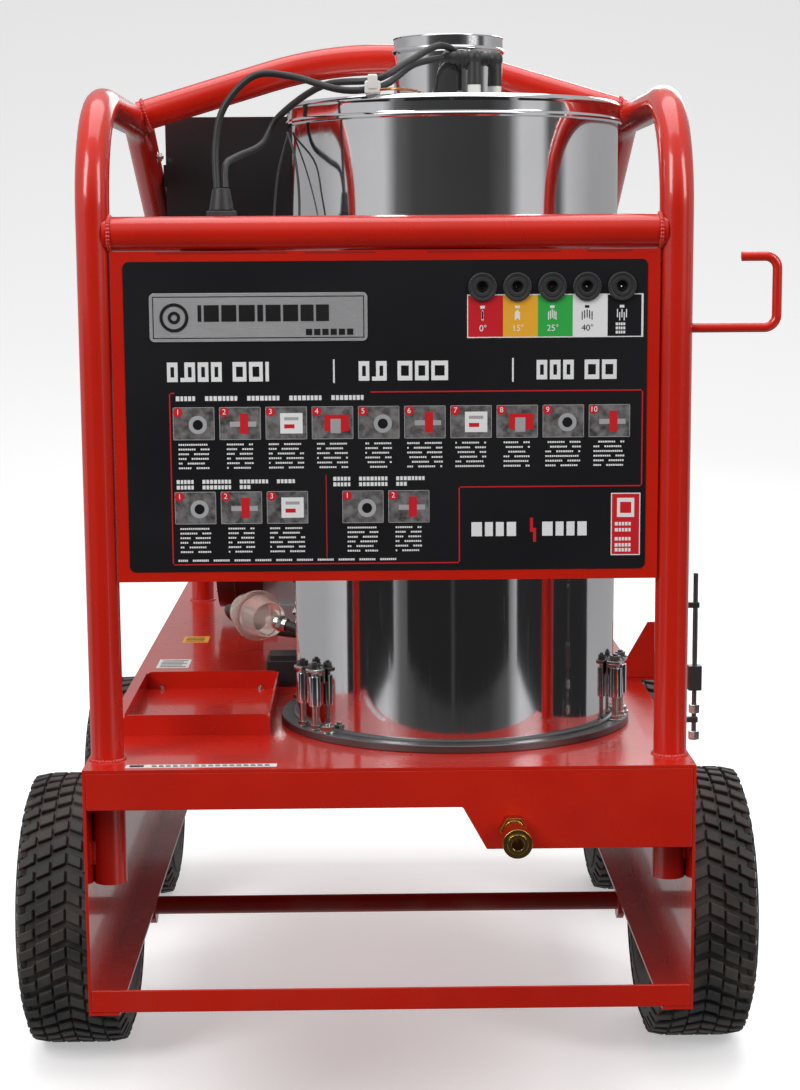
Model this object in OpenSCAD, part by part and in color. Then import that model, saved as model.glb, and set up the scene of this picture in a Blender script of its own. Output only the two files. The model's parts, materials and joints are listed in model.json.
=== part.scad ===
// Hot-water pressure washer on a four-wheeled skid: engine and pump at the rear, upright coil boiler at the front.
// +X is to the right seen from the front, +Y runs to the rear, +Z is up and the tyres stand on Z = 0.

/* [Chassis] */
// Width over the folded side webs
deck_w = 607; // [560:1:680]
// Length of the deck
deck_len = 1330; // [1290:1:1600]
// Height of the deck's top face above the ground
deck_z = 453; // [440:1:520]
// Height of the side webs
web_h = 252; // [200:1:256]
// Thickness of the chassis sheet
sheet = 3; // [2:0.5:5]
// Width of the webs' inward bottom flanges
flange_w = 31; // [20:1:45]
// Depth of the front skirt below the deck, coupler side
skirt_deep = 84; // [75:1:100]
// Depth of the front skirt below the deck, plain side
skirt_shallow = 41; // [30:1:60]

/* [Wheels] */
// Outside diameter of the tyres
tyre_d = 330; // [300:1:340]
// Width of the tyres
tyre_w = 126; // [100:1:140]
// Diameter of the rims where the tyres seat
rim_d = 152; // [140:1:170]
// Space between a web and its tyre
tyre_gap = 8; // [6:1:30]
// Diameter of the axles
axle_d = 22; // [18:1:28]
// Distance from the deck's front edge to the front axle
front_axle_y = 509; // [420:1:560]
// Distance between the axles
wheelbase = 641; // [580:1:700]

/* [Tube frame] */
// Outside diameter of the frame tube
pipe_d = 33.4; // [30:0.1:38]
// Wall of the frame tube
pipe_wall = 2.6; // [2:0.1:4]
// Distance from the deck's front edge to the front posts
post_y = 52; // [45:1:70]
// Height of the top rails
rail_z = 1104; // [1090:1:1180]
// Length of the level part of each rail, to the corner
rail_level = 400; // [360:1:440]
// Distance from the front posts to the rear legs
leg_y = 1068; // [1040:1:1130]
// Height of the corner where each rail becomes a rear leg
leg_corner_z = 745; // [720:1:790]
// Radius of the tube bends
bend_r = 110; // [95:1:120]
// How far the rear legs stand inboard of the front posts
leg_toe_in = 18; // [0:1:20]
// Height of the rear arch above the rails
arch_rise = 82; // [60:1:110]
// How far below the deck the posts reach
post_below = 127; // [60:1:140]

/* [Front panel] */
// Height of the front cross tube's centre
cross_z = 974; // [960:1:990]
// Height of the panel's lower edge
panel_z = 634; // [600:1:680]
// Diameter of the nozzle grommets
grommet_d = 28; // [24:1:30]
// Bore that holds a nozzle
nozzle_d = 11; // [8:0.5:14]

/* [Boiler] */
// Offset of the boiler to the right of the machine's centre
boiler_x = 74; // [70:1:80]
// Distance from the deck's front edge to the boiler's centre
boiler_y = 250; // [245:1:262]
// Diameter of the boiler's shell
boiler_d = 346; // [320:1:350]
// Diameter of the boiler's base flange
base_d = 380; // [372:1:384]
// Height of the boiler's lid above the ground
lid_z = 1109; // [1095:1:1120]
// Diameter of the chimney
chimney_d = 114; // [100:1:125]
// Height of the chimney above the lid
chimney_h = 67; // [50:1:90]
// Wall of the boiler's stainless sheet
boiler_wall = 1.5; // [1:0.1:2.5]

/* [Battery tray] */
// Length of the tray, front to back
tray_len = 254; // [200:1:270]
// Width of the tray
tray_w = 156; // [130:1:160]
// Height of the tray's walls
tray_h = 22; // [15:1:40]

/* [Engine and pump] */
// Distance from the deck's front edge to the crankshaft
crank_y = 960; // [950:1:990]
// Height of the crankshaft above the engine's feet
crank_h = 121; // [115:1:130]
// Diameter of the crankshaft
crank_d = 25.4; // [20:0.1:30]
// Radial running clearance of everything that turns
running = 0.05; // [0.02:0.01:0.1]

/* [Coupler] */
// How far the quick coupler stands out in front of the deck
coupler_reach = 70; // [60:1:90]
// Diameter of the coupler's sliding collar
collar_d = 29; // [26:1:34]
// Bore of the coupler
coupler_bore = 12; // [9:0.5:14]

/* [Hidden] */
$fn = 64;

gap = 0.3;                                          // between curved faces of different bodies
y0 = -(deck_len + coupler_reach) / 2 + coupler_reach;   // the deck's front edge, so that the box is centred on Y
under = deck_z - sheet;                             // underside of the deck sheet
web_x = deck_w / 2;                                 // outer face of a web
post_x = web_x - sheet - pipe_d / 2;                // post centres, touching the webs
wheel_x = web_x + tyre_gap + tyre_w / 2;            // middle plane of a wheel
axle_z = tyre_d / 2;
axle_y = [y0 + front_axle_y, y0 + front_axle_y + wheelbase];
toe = atan(leg_toe_in / leg_y);                     // angle of a side tube's plane to the Y axis
hub_in = web_x + tyre_gap + 6;                      // inner end of a wheel's hub
hub_out = wheel_x + tyre_w / 2 - 18;                // outer end of a wheel's hub
nut_h = 10;
panel_w = 2 * post_x - pipe_d;                      // clear width between the posts
panel_top = cross_z - pipe_d / 2;
panel_y = y0 + post_y - pipe_d / 2 + 6;             // front face of the panel
boiler_at = [boiler_x, y0 + boiler_y];
flange_t = 8;
base_top = deck_z + flange_t;
lid_h = 23;
shell_top = lid_z - lid_h;
chimney_x = boiler_x - 5;
tray_at = [-post_x + 3, y0 + 163];                  // front left corner of the tray
crank_at = [0, y0 + crank_y, deck_z + crank_h];
engine_left = -165;                                 // crankcase, shroud side
engine_right = 70;                                  // crankcase, shaft side
pump_left = 96;
throttle_pin = 8;
coupler_at = [122, y0, deck_z - 61];
box_y = y0 + 545;                                   // front face of the control box
box_back = 230;
box_top = 1117;
dial_at = [-120, 660, 1072];                        // on the control box's sloping face, from the deck's front
rocker_at = [60, 660, 1072];
face_tilt = atan(132 / 175);                        // slope of the control box's face
rocker_pin = 3;                                     // diameter of the burner switch's pivot
pin_depth = -2;                                     // its height over the sloping face
tab_t = 3;                                          // tabs that join the control box to the rails
rail_inner = post_x - (box_y + 30 - y0 - post_y) * tan(toe) - pipe_d / 2 / cos(toe);   // rails beside the box
box_w = 2 * (rail_inner - 0.1 - tab_t);
tank_at = [62, 470];                                // corner of the fuel tank, from the deck's front
tank_size = [180, 210, 230];
blower_at = [-18, y0 + 520, deck_z + 96];
blower_r = 70;
filter_at = [-156, y0 + 541, deck_z + 68];
gland_at = [-162, y0 + 105, 955];
hook_z = [880, 949];
hook_d = 9.5;
hook_x = post_x + 104.2;                            // outer side of the hook
wheels = [[-1, 0], [1, 0], [-1, 1], [1, 1]];        // side, axle

paint = "orangered";
steel = "silver";

// ---- shared shapes ----

// A rod of diameter d along a bent line in the XY plane, with true round bends of radius r at its corners.
function dir_of(a, b) = atan2(b[1] - a[1], b[0] - a[0]);
function turn_of(p, i) =
  let (t = dir_of(p[i], p[i + 1]) - dir_of(p[i - 1], p[i])) t > 180 ? t - 360 : t < -180 ? t + 360 : t;
function setback(p, i, r) = i == 0 || i == len(p) - 1 ? 0 : r * tan(abs(turn_of(p, i)) / 2);

module bent_rod(p, r, d, bore = 0, slit = 0) {
  for (i = [0:len(p) - 2]) {
    a = dir_of(p[i], p[i + 1]);
    cut = setback(p, i, r);
    length = norm(p[i + 1] - p[i]) - cut - setback(p, i + 1, r);
    translate([p[i][0], p[i][1], 0]) rotate([0, 0, a]) translate([cut + slit, 0, 0])
      rotate([0, 90, 0]) linear_extrude(length - 2 * slit) ring_2d(d, bore);
  }
  for (i = [1:len(p) - 2]) {
    t = turn_of(p, i);
    a = dir_of(p[i - 1], p[i]);
    side = t > 0 ? 1 : -1;
    start = t > 0 ? a - 90 : a + 90 + t;
    translate([p[i][0], p[i][1], 0]) rotate([0, 0, a]) translate([-setback(p, i, r), side * r, 0])
      rotate([0, 0, start - a]) rotate_extrude(angle = abs(t)) translate([r, 0]) ring_2d(d, bore);
  }
}

module ring_2d(d, bore) {
  difference() {
    circle(d = d);
    if (bore > 0) circle(d = bore);
  }
}

// A tube of straights and bends, joined by a low butt weld at each end of a bend.
module bent_tube(p, r) {
  bore = pipe_d - 2 * pipe_wall;
  bent_rod(p, r, pipe_d, bore, 0.05);
  for (i = [1:len(p) - 2], k = [0, 1]) {
    a = dir_of(p[i - 1 + k], p[i + k]);
    translate([p[i][0], p[i][1], 0]) rotate([0, 0, a]) translate([(2 * k - 1) * setback(p, i, r) - 3, 0, 0])
      rotate([0, 90, 0]) linear_extrude(6) ring_2d(pipe_d + 0.4, bore + 0.6);
  }
}

// A flexible line through hand-placed points: a smooth curve swept with an eight-sided ring.
// across is a direction that the line never runs along.
function curve_at(a, b, c, d, t) =
  0.5 * ((2 * b) + (c - a) * t + (2 * a - 5 * b + 4 * c - d) * t * t + (3 * b - a - 3 * c + d) * t * t * t);
function smooth(p, n) = concat(
  [for (i = [0:len(p) - 2], k = [0:n - 1])
    curve_at(p[max(i - 1, 0)], p[i], p[i + 1], p[min(i + 2, len(p) - 1)], k / n)],
  [p[len(p) - 1]]);
function unit(v) = v / norm(v);

module line_through(p, d, across = [0, 1, 0], n = 3) {
  q = smooth(p, n);
  last = len(q) - 1;
  sides = 8;
  rings = [for (i = [0:last])
    let (t = unit(q[min(i + 1, last)] - q[max(i - 1, 0)]), u = unit(cross(t, across)), v = cross(t, u))
      for (k = [0:sides - 1]) q[i] + d / 2 * (cos(360 * k / sides) * u + sin(360 * k / sides) * v)];
  walls = [for (i = [0:last - 1], k = [0:sides - 1])
    [i * sides + k, (i + 1) * sides + k, (i + 1) * sides + (k + 1) % sides, i * sides + (k + 1) % sides]];
  caps = [[for (k = [0:sides - 1]) k], [for (k = [sides - 1:-1:0]) last * sides + k]];
  polyhedron(rings, concat(walls, caps), 4);
}

module along_x(at, h, d) { translate(at) rotate([0, 90, 0]) cylinder(h = h, d = d); }
module along_y(at, h, d) { translate(at) rotate([-90, 0, 0]) cylinder(h = h, d = d); }

// A plate with rounded corners, lying in XY, from its corner.
module soft_plate(size, r) {
  linear_extrude(size[2]) {
    translate([r, 0]) square([size[0] - 2 * r, size[1]]);
    translate([0, r]) square([size[0], size[1] - 2 * r]);
    for (x = [r, size[0] - r], y = [r, size[1] - r]) translate([x, y]) circle(r = r);
  }
}

// A hexagon head with its washer, pointing up.
module bolt_head(d) {
  cylinder(h = d * 0.25, d = d * 2.2);
  translate([0, 0, d * 0.25]) cylinder(h = d * 0.7, d = d * 1.8, $fn = 6);
}

// ---- chassis ----

module post_holes() {
  for (s = [-1, 1]) {
    translate([s * post_x, y0 + post_y, deck_z - sheet - 1]) cylinder(h = sheet + 2, d = pipe_d);
  }
}

module deck_chassis() {
  bottom = deck_z - web_h;
  color(paint) difference() {
    union() {
      translate([-web_x, y0, under]) cube([deck_w, deck_len, sheet]);
      for (s = [-1, 1]) {
        translate([s > 0 ? web_x - sheet : -web_x, y0, bottom]) cube([sheet, deck_len, web_h - sheet]);
        translate([s > 0 ? web_x - flange_w : -web_x, y0, bottom]) cube([flange_w, deck_len, sheet]);
      }
      translate([-web_x + sheet, y0 + deck_len - sheet, deck_z - skirt_shallow])
        cube([deck_w - 2 * sheet, sheet, skirt_shallow - sheet]);
    }
    post_holes();
    translate([boiler_at[0] - 90, boiler_at[1], under - 1]) cylinder(h = sheet + 2, d = 20);
  }
}

module front_skirt() {
  w = deck_w / 2 - sheet;
  slope_x = 72;
  color(paint) difference() {
    translate([0, y0 + sheet, 0]) rotate([90, 0, 0]) linear_extrude(sheet)
      polygon([[-w, under], [w, under], [w, deck_z - skirt_deep], [slope_x + 24, deck_z - skirt_deep],
               [slope_x, deck_z - skirt_shallow], [-w, deck_z - skirt_shallow]]);
    along_y([coupler_at[0], y0 - 1, coupler_at[2]], sheet + 2, 22);
  }
}

module cross_bars() {
  bottom = deck_z - web_h;
  w = deck_w - 2 * sheet;
  color(paint) for (y = [y0, y0 + deck_len - 25]) {
    translate([-w / 2, y, bottom + sheet]) cube([w, 3, 23]);
    translate([-w / 2, y + 3, bottom + sheet]) cube([w, 22, 3]);
  }
}

module side_tube(s) {
  foot = deck_z - post_below;
  p = [[0, foot], [0, rail_z], [rail_level, rail_z], [leg_y / cos(toe), leg_corner_z], [leg_y / cos(toe), deck_z]];
  color(paint) translate([s * post_x, y0 + post_y, 0]) rotate([0, 0, s * toe]) rotate([90, 0, 90])
    bent_tube(p, bend_r);
}

module side_tube_left() { side_tube(-1); }
module side_tube_right() { side_tube(1); }

module top_cross_tube() {
  color(paint) difference() {
    along_x([-post_x, y0 + post_y, cross_z], 2 * post_x, pipe_d);
    along_x([-post_x - 1, y0 + post_y, cross_z], 2 * post_x + 2, pipe_d - 2 * pipe_wall);
    for (s = [-1, 1]) translate([s * post_x, y0 + post_y, cross_z - pipe_d]) cylinder(h = 2 * pipe_d, d = pipe_d);
  }
}

arch_y = y0 + post_y + rail_level - 70;
arch_x = post_x - (rail_level - 70) * tan(toe);

module arch_tube() {
  p = [[-arch_x, rail_z], [0, rail_z + arch_rise], [arch_x, rail_z]];
  color(paint) difference() {
    translate([0, arch_y, 0]) rotate([90, 0, 0]) bent_tube(p, 4 * bend_r);
    for (s = [-1, 1]) along_y([s * arch_x, arch_y - pipe_d, rail_z], 2 * pipe_d, pipe_d + 1);
  }
}

// ---- front panel ----

grommet_x = [for (i = [0:4]) 94 + 34 * i];
grommet_z = 921;
panel_t = 3;

module front_panel() {
  color(paint) difference() {
    translate([-panel_w / 2, panel_y, panel_z]) cube([panel_w, panel_t, panel_top - panel_z]);
    for (x = grommet_x) along_y([x, panel_y - 1, grommet_z], panel_t + 2, grommet_d - 8);
  }
}

decal_edge = 12;

module panel_decal() {
  color("black") difference() {
    translate([-panel_w / 2 + decal_edge, panel_y, panel_z + 10]) rotate([90, 0, 0])
      soft_plate([panel_w - 2 * decal_edge, panel_top - panel_z - 20, 0.6], 6);
    for (x = grommet_x) along_y([x, panel_y - 2, grommet_z], 4, grommet_d);
  }
}

module nameplate() {
  color(steel) translate([-230, panel_y - 0.6, 870]) rotate([90, 0, 0]) soft_plate([212, 47, 1.2], 5);
}

module nozzle_grommets() {
  color("dimgray") for (x = grommet_x) difference() {
    union() {
      along_y([x, panel_y - 4, grommet_z], 4, grommet_d);
      along_y([x, panel_y, grommet_z], panel_t, grommet_d - 8);
      along_y([x, panel_y + panel_t, grommet_z], 4, grommet_d);
    }
    along_y([x, panel_y - 5, grommet_z], panel_t + 10, nozzle_d);
  }
}

module hose_hook() {
  start = post_x + pipe_d / 2 - 1;
  p = [[start, hook_z[0]], [hook_x - hook_d / 2, hook_z[0]], [hook_x - hook_d / 2, hook_z[1]],
       [hook_x - 40, hook_z[1]]];
  color(paint) difference() {
    translate([0, y0 + post_y, 0]) rotate([90, 0, 0]) bent_rod(p, 12, hook_d);
    translate([post_x, y0 + post_y, hook_z[0] - 20]) cylinder(h = 40, d = pipe_d);
  }
}

// ---- battery tray ----

module tray_wall(length) {
  t = 2;
  rotate([90, 0, 0]) linear_extrude(t) {
    square([length, tray_h - 8]);
    translate([8, tray_h - 8]) square([length - 16, 8]);
    for (x = [8, length - 8]) translate([x, tray_h - 8]) circle(r = 8);
  }
}

module battery_tray() {
  t = 2;
  color(paint) translate([tray_at[0], tray_at[1], deck_z]) {
    cube([tray_w, tray_len, t]);
    translate([0, t, 0]) tray_wall(tray_w);
    translate([0, tray_len, 0]) tray_wall(tray_w);
    translate([0, 0, 0]) rotate([0, 0, 90]) tray_wall(tray_len);
    translate([tray_w - t, 0, 0]) rotate([0, 0, 90]) tray_wall(tray_len);
  }
}

// ---- axles and wheels ----

bracket_x = web_x - 16;

module axle_brackets() {
  bottom = deck_z - web_h;
  color(paint) for (y = axle_y, s = [-1, 1]) difference() {
    union() {
      translate([s * bracket_x - 4, y - 22, axle_z]) cube([8, 44, bottom - axle_z]);
      along_x([s * bracket_x - 4, y, axle_z], 8, 44);
    }
    along_x([s * bracket_x - 5, y, axle_z], 10, axle_d);
  }
}

module axle(i) {
  color("firebrick") along_x([-hub_out - gap - nut_h, axle_y[i], axle_z], 2 * (hub_out + gap + nut_h), axle_d);
  color(steel) for (s = [-1, 1]) difference() {
    translate([s * (hub_out + gap + nut_h / 2), axle_y[i], axle_z]) rotate([0, 90, 0])
      cylinder(h = nut_h, d = axle_d * 1.75, center = true, $fn = 6);
    along_x([s * (hub_out + gap + nut_h / 2) - nut_h, axle_y[i], axle_z], 2 * nut_h, axle_d);
  }
}

module front_axle() { axle(0); }
module rear_axle() { axle(1); }

// Half-section of a tyre: radius along X, width along Y.
module tyre_section() {
  r = tyre_d / 2;
  w = tyre_w / 2;
  shoulder = 18;
  bead = rim_d / 2;
  difference() {
    union() {
      translate([bead + 22, -w + shoulder]) square([r - bead - 22, tyre_w - 2 * shoulder]);
      translate([bead + 22, -w]) square([r - shoulder - bead - 22, tyre_w]);
      for (y = [-w + shoulder, w - shoulder]) translate([r - shoulder, y]) circle(r = shoulder);
      polygon([[bead, -w + 13], [bead + 10, -w + 13], [bead + 22, -w],
               [bead + 22, w], [bead + 10, w - 13], [bead, w - 13]]);
    }
    translate([bead + 24, -w + 10]) square([r - bead - 36, tyre_w - 20]);
    translate([bead - 1, -w + 28]) square([26, tyre_w - 56]);
  }
}

module tyre(k) {
  color("black") translate([wheels[k][0] * wheel_x, axle_y[wheels[k][1]], axle_z]) rotate([0, 90, 0])
    rotate_extrude($fn = 96) tyre_section();
}

module tyre_front_left() { tyre(0); }
module tyre_front_right() { tyre(1); }
module tyre_rear_left() { tyre(2); }
module tyre_rear_right() { tyre(3); }

module rim(k) {
  s = wheels[k][0];
  r = rim_d / 2;
  w = tyre_w / 2 - 13;
  color("white") translate([0, axle_y[wheels[k][1]], axle_z]) rotate([0, s * 90, 0]) rotate_extrude() {
    translate([r - 4, wheel_x - w]) square([4, 2 * w]);
    for (y = [wheel_x - w - 3, wheel_x + w]) translate([r - 4, y]) square([12, 3]);
    translate([axle_d / 2 + 4, wheel_x + 8]) square([r - 4 - axle_d / 2 - 4, 4]);
    translate([axle_d / 2 + running, hub_in]) square([8, hub_out - hub_in]);
  }
}

module rim_front_left() { rim(0); }
module rim_front_right() { rim(1); }
module rim_rear_left() { rim(2); }
module rim_rear_right() { rim(3); }

// ---- boiler ----

module ring(d_out, d_in, z, h) {
  translate([boiler_at[0], boiler_at[1], z]) difference() {
    cylinder(h = h, d = d_out, $fn = 128);
    translate([0, 0, -1]) cylinder(h = h + 2, d = d_in, $fn = 128);
  }
}

module boiler_flange() {
  color("gray") difference() {
    union() {
      translate([boiler_at[0], boiler_at[1], deck_z]) cylinder(h = flange_t, d = base_d, $fn = 128);
      ring(boiler_d - 2 * boiler_wall, boiler_d - 2 * boiler_wall - 10, base_top, 14);
    }
    translate([boiler_at[0] - 90, boiler_at[1], deck_z - 1]) cylinder(h = flange_t + 2, d = 20);
  }
}

module boiler_body() {
  color("lightgray") ring(boiler_d, boiler_d - 2 * boiler_wall, base_top, shell_top - base_top);
}

module boiler_lid() {
  color("lightgray") difference() {
    union() {
      translate([boiler_at[0], boiler_at[1], shell_top]) cylinder(h = lid_h, d = boiler_d + 6, $fn = 128);
      translate([boiler_at[0], boiler_at[1], shell_top])
        rotate_extrude($fn = 128) translate([boiler_d / 2 + 1, 3]) circle(r = 3);
    }
    translate([boiler_at[0], boiler_at[1], shell_top - 4])
      cylinder(h = lid_h + 4 - boiler_wall, d = boiler_d - 2 * boiler_wall, $fn = 128);
    translate([chimney_x, boiler_at[1], lid_z - 3]) cylinder(h = 6, d = chimney_d - 2 * boiler_wall);
    for (e = electrodes_at) translate([e[0], e[1], lid_z - 3]) cylinder(h = 6, d = 8);
  }
}

module chimney() {
  z = lid_z;
  color("lightgray") translate([chimney_x, boiler_at[1], z]) difference() {
    union() {
      cylinder(h = chimney_h, d = chimney_d, $fn = 96);
      translate([0, 0, chimney_h - 14]) rotate_extrude($fn = 96) translate([chimney_d / 2, 0]) circle(r = 2);
    }
    translate([0, 0, -1]) cylinder(h = chimney_h + 2, d = chimney_d - 2 * boiler_wall, $fn = 96);
  }
}

coil_r = boiler_d / 2 - 35;
coil_turns = 14;
coil_tube = 21;

module heating_coil() {
  pitch = (shell_top - base_top - 120) / (coil_turns - 1);
  color("gray") translate([boiler_at[0], boiler_at[1], base_top + 40]) {
    for (i = [0:coil_turns - 1]) translate([0, 0, i * pitch]) rotate_extrude() translate([coil_r, 0]) circle(d = coil_tube);
    for (a = [20, 200]) rotate([0, 0, a]) translate([coil_r, 0, 0]) cylinder(h = (coil_turns - 1) * pitch, d = 8);
  }
}

clamp_angles = [210, 342, 30, 150];
clamp_r = boiler_d / 2 + 8.5;

module boiler_clamps() {
  h = 66;
  color(steel) for (a = clamp_angles) translate([boiler_at[0], boiler_at[1], base_top]) rotate([0, 0, a]) {
    for (t = [-13, 13]) translate([clamp_r, t, 0]) {
      cylinder(h = h, d = 8);
      translate([0, 0, 26]) cylinder(h = 34, d = 14);
      translate([-7, -8, h - 6]) cube([14, 16, 6]);
    }
    rotate([0, 0, 11]) translate([clamp_r + 1, 0, 0]) bolt_head(8);
  }
}

electrodes_at = [[boiler_x + 18, boiler_at[1] - 90], [boiler_x + 40, boiler_at[1] - 68]];

module electrodes() {
  for (e = electrodes_at) translate([e[0], e[1], 0]) {
    color("white") translate([0, 0, lid_z - 60]) cylinder(h = 60 + 14, d = 8);
    color("white") translate([0, 0, lid_z]) cylinder(h = 6, d = 18);
    color("black") translate([0, 0, lid_z + 14]) cylinder(h = 26, d = 15);
    color("black") translate([0, 0, lid_z + 40]) rotate([0, -90, 0]) cylinder(h = 30, d = 13);
    color("black") translate([0, 0, lid_z + 40]) sphere(d = 15);
  }
}

// Points of the leads, chosen by hand, measured from the machine's centre, the deck's front edge and the ground.
lead_one = [[62, 160, 1149], [30, 135, 1140], [0, 110, 1118], [-40, 100, 1113], [-90, 110, 1127], [-128, 112, 1128],
            [-158, 112, 1098], [-167, 110, 1060], [-166, 104, 1019]];
lead_two = [[84, 182, 1149], [58, 150, 1160], [24, 118, 1141], [-8, 101, 1123], [-60, 132, 1120], [-106, 184, 1094],
            [-124, 182, 1066], [-148, 150, 1052], [-158, 118, 1042], [-158, 107, 1019]];
earth_wire = [[-4, 98, 1113], [10, 100, 1114], [26, 116, 1114], [38, 142, 1113], [46, 172, 1111]];

// Points of the hoses, chosen by hand, measured in the same way.
to_burner = [[-132, 490, 521], [-112, 482, 516], [-90, 477, 506], [-64, 480, 499]];
from_tank = [[-179, 590, 521], [-196, 632, 514], [-186, 682, 492], [-140, 706, 474], [-60, 706, 466], [10, 676, 468],
             [62, 641, 491]];
pump_feed = [[240, 894, 560], [243, 850, 553], [254, 780, 520], [257, 700, 488], [257, 560, 474], [256, 470, 478],
             [232, 408, 490], [196.6, 372.6, 493]];
boiler_out = [[122, 28, 392], [122, 80, 389], [112, 140, 376], [96, 200, 372], [84, 240, 394], [82, 250, 426],
              [82, 250, 450]];
function placed(p) = [for (q = p) [q[0], y0 + q[1], q[2]]];

module ignition_cables() {
  color("black") line_through(placed(lead_one), 7);
  color("black") line_through(placed(lead_two), 7);
}

module ground_wire() {
  color("peru") line_through(placed(earth_wire), 3);
}

module cable_fittings() {
  color("white") translate([-18, y0 + 96, lid_z]) cube([16, 14, 16]);
  color("black") translate(gland_at) {
    cylinder(h = 16, d = 24);
    translate([0, 0, 16]) cylinder(h = 26, d = 34, $fn = 6);
    translate([0, 0, 42]) cylinder(h = 22, d1 = 26, d2 = 18);
  }
}

module transformer_box() {
  color("dimgray") translate([gland_at[0] - 38, panel_y + panel_t, 830]) difference() {
    soft_box([76, 76, gland_at[2] - 830], 6);
    translate([3, 3, 3]) cube([70, 70, gland_at[2] - 836]);
  }
}

// A box with rounded upright edges.
module soft_box(size, r) { soft_plate([size[0], size[1], size[2]], r); }

module deck_module() {
  color("black") translate([-141, y0 + 430, deck_z]) {
    soft_box([58, 44, 30], 3);
    translate([3, 3, 30]) soft_box([52, 38, 7], 3);
  }
}

// ---- fuel ----

module fuel_filter() {
  color("whitesmoke") translate(filter_at) rotate([0, 0, 25]) rotate([90, 0, 0]) {
    translate([0, 0, -36]) cylinder(h = 34, d1 = 44, d2 = 50);
    translate([0, 0, -2]) cylinder(h = 7, d = 62);
    translate([0, 0, 5]) cylinder(h = 34, d1 = 50, d2 = 42);
    for (z = [-52, 39]) translate([0, 0, z]) cylinder(h = 16, d = 9);
  }
}

module hoses() {
  color("black") {
    line_through(placed(to_burner), 12, [0, 0, 1]);
    line_through(placed(from_tank), 12, [0, 0, 1]);
    line_through(placed(pump_feed), 17, [0, 0, 1]);
    line_through(placed(boiler_out), 17, [1, 0, 0]);
  }
}

module fuel_tank() {
  at = [tank_at[0], y0 + tank_at[1], deck_z];
  neck = [at[0] + tank_size[0] / 2, at[1] + tank_size[1] / 2];
  color("black") difference() {
    union() {
      translate(at) soft_box(tank_size, 25);
      translate([neck[0], neck[1], deck_z + tank_size[2]]) cylinder(h = 22, d = 50);
    }
    translate([at[0] + 4, at[1] + 4, deck_z + 4]) soft_box([tank_size[0] - 8, tank_size[1] - 8, tank_size[2] - 8], 21);
    translate([neck[0], neck[1], deck_z + tank_size[2] - 10]) cylinder(h = 40, d = 42);
  }
}

module fuel_cap() {
  z = deck_z + tank_size[2];
  color("red") translate([tank_at[0] + tank_size[0] / 2, y0 + tank_at[1] + tank_size[1] / 2, z]) {
    translate([0, 0, 22 + gap]) cylinder(h = 14, d = 62);
    translate([0, 0, 4]) cylinder(h = 19, d = 42 - 2 * running);
  }
}

// ---- burner ----

module burner_housing() {
  w = 90;
  color("dimgray") difference() {
    union() {
      along_x([blower_at[0] - w / 2, blower_at[1], blower_at[2]], w, 2 * blower_r + 24);
      translate([blower_at[0] - w / 2, blower_at[1] - 20, deck_z]) cube([w, 90, 40]);
      translate([blower_at[0] - 30, boiler_at[1] + 105, deck_z + 24]) cube([60, 170, 60]);
      along_x([blower_at[0] - w / 2 - 44, blower_at[1], blower_at[2]], 44, 74);
    }
    along_x([blower_at[0] - w / 2 + 4, blower_at[1], blower_at[2]], w - 8, 2 * blower_r + 16);
    along_x([blower_at[0] + w / 2 - 5, blower_at[1], blower_at[2]], 10, 2 * blower_r - 30);
    translate([blower_at[0], blower_at[1], blower_at[2]]) rotate([0, -90, 0]) cylinder(h = w / 2 + 20, d = 12 + 2 * running);
    translate([boiler_at[0], boiler_at[1], deck_z]) cylinder(h = 300, d = boiler_d + 0.4, $fn = 128);
  }
}

module blower_wheel() {
  w = 60;
  color("silver") translate([blower_at[0] - w / 2, blower_at[1], blower_at[2]]) rotate([0, 90, 0]) {
    cylinder(h = 3, r = blower_r);
    translate([0, 0, -28]) cylinder(h = 50, d = 12);
    difference() {
      cylinder(h = w, r = blower_r);
      translate([0, 0, -1]) cylinder(h = w + 2, r = blower_r - 3);
    }
    for (a = [0:20:359]) rotate([0, 0, a]) translate([blower_r - 18, -1, 0]) cube([16, 2, w]);
  }
}

// ---- engine and pump ----

module engine_block() {
  c = crank_at;
  color("dimgray") difference() {
    union() {
      translate([engine_left, c[1] - 85, deck_z + 22]) cube([engine_right - engine_left, 170, 180]);
      for (y = [-95, 75]) translate([engine_left + 20, c[1] + y, deck_z]) cube([engine_right - engine_left - 40, 20, 30]);
      translate([engine_left + 60, c[1] - 40, c[2]]) rotate([25, 0, 0]) translate([0, -60, 60]) {
        cube([130, 120, 130]);
        for (z = [15:16:115]) translate([-12, -12, z]) cube([154, 144, 4]);
      }
      along_x([engine_right, c[1], c[2]], 18, 130);
    }
    along_x([engine_left - 1, c[1], c[2]], engine_right - engine_left + 30, crank_d + 2 * running);
    along_y([engine_left + 30, c[1] + 60, c[2] + 20], 30, throttle_pin);
  }
}

module engine_shroud() {
  c = crank_at;
  color("black") difference() {
    union() {
      along_x([engine_left - 62, c[1], c[2] + 30], 62, 270);
      along_x([engine_left - 76, c[1], c[2] + 30], 14, 190);
      translate([engine_left - 40, c[1] - 70, c[2] + 60]) cube([40, 140, 170]);
    }
    along_x([engine_left - 58, c[1], c[2] + 30], 59, 250);
    along_x([engine_left - 70, c[1], c[2] + 30], 20, 170);
    translate([engine_left - 58, c[1] - 60, c[2] + 100]) cube([50, 120, 122]);
    along_y([engine_left - 50, c[1] - 200, c[2] + 100], 100, 8 + 2 * running);
  }
}

module crankshaft() {
  c = crank_at;
  color("silver") {
    along_x([engine_left - 46, c[1], c[2]], pump_left + 40 - engine_left + 46, crank_d);
    along_x([engine_left - 46, c[1], c[2]], 40, 180);
  }
}

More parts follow.
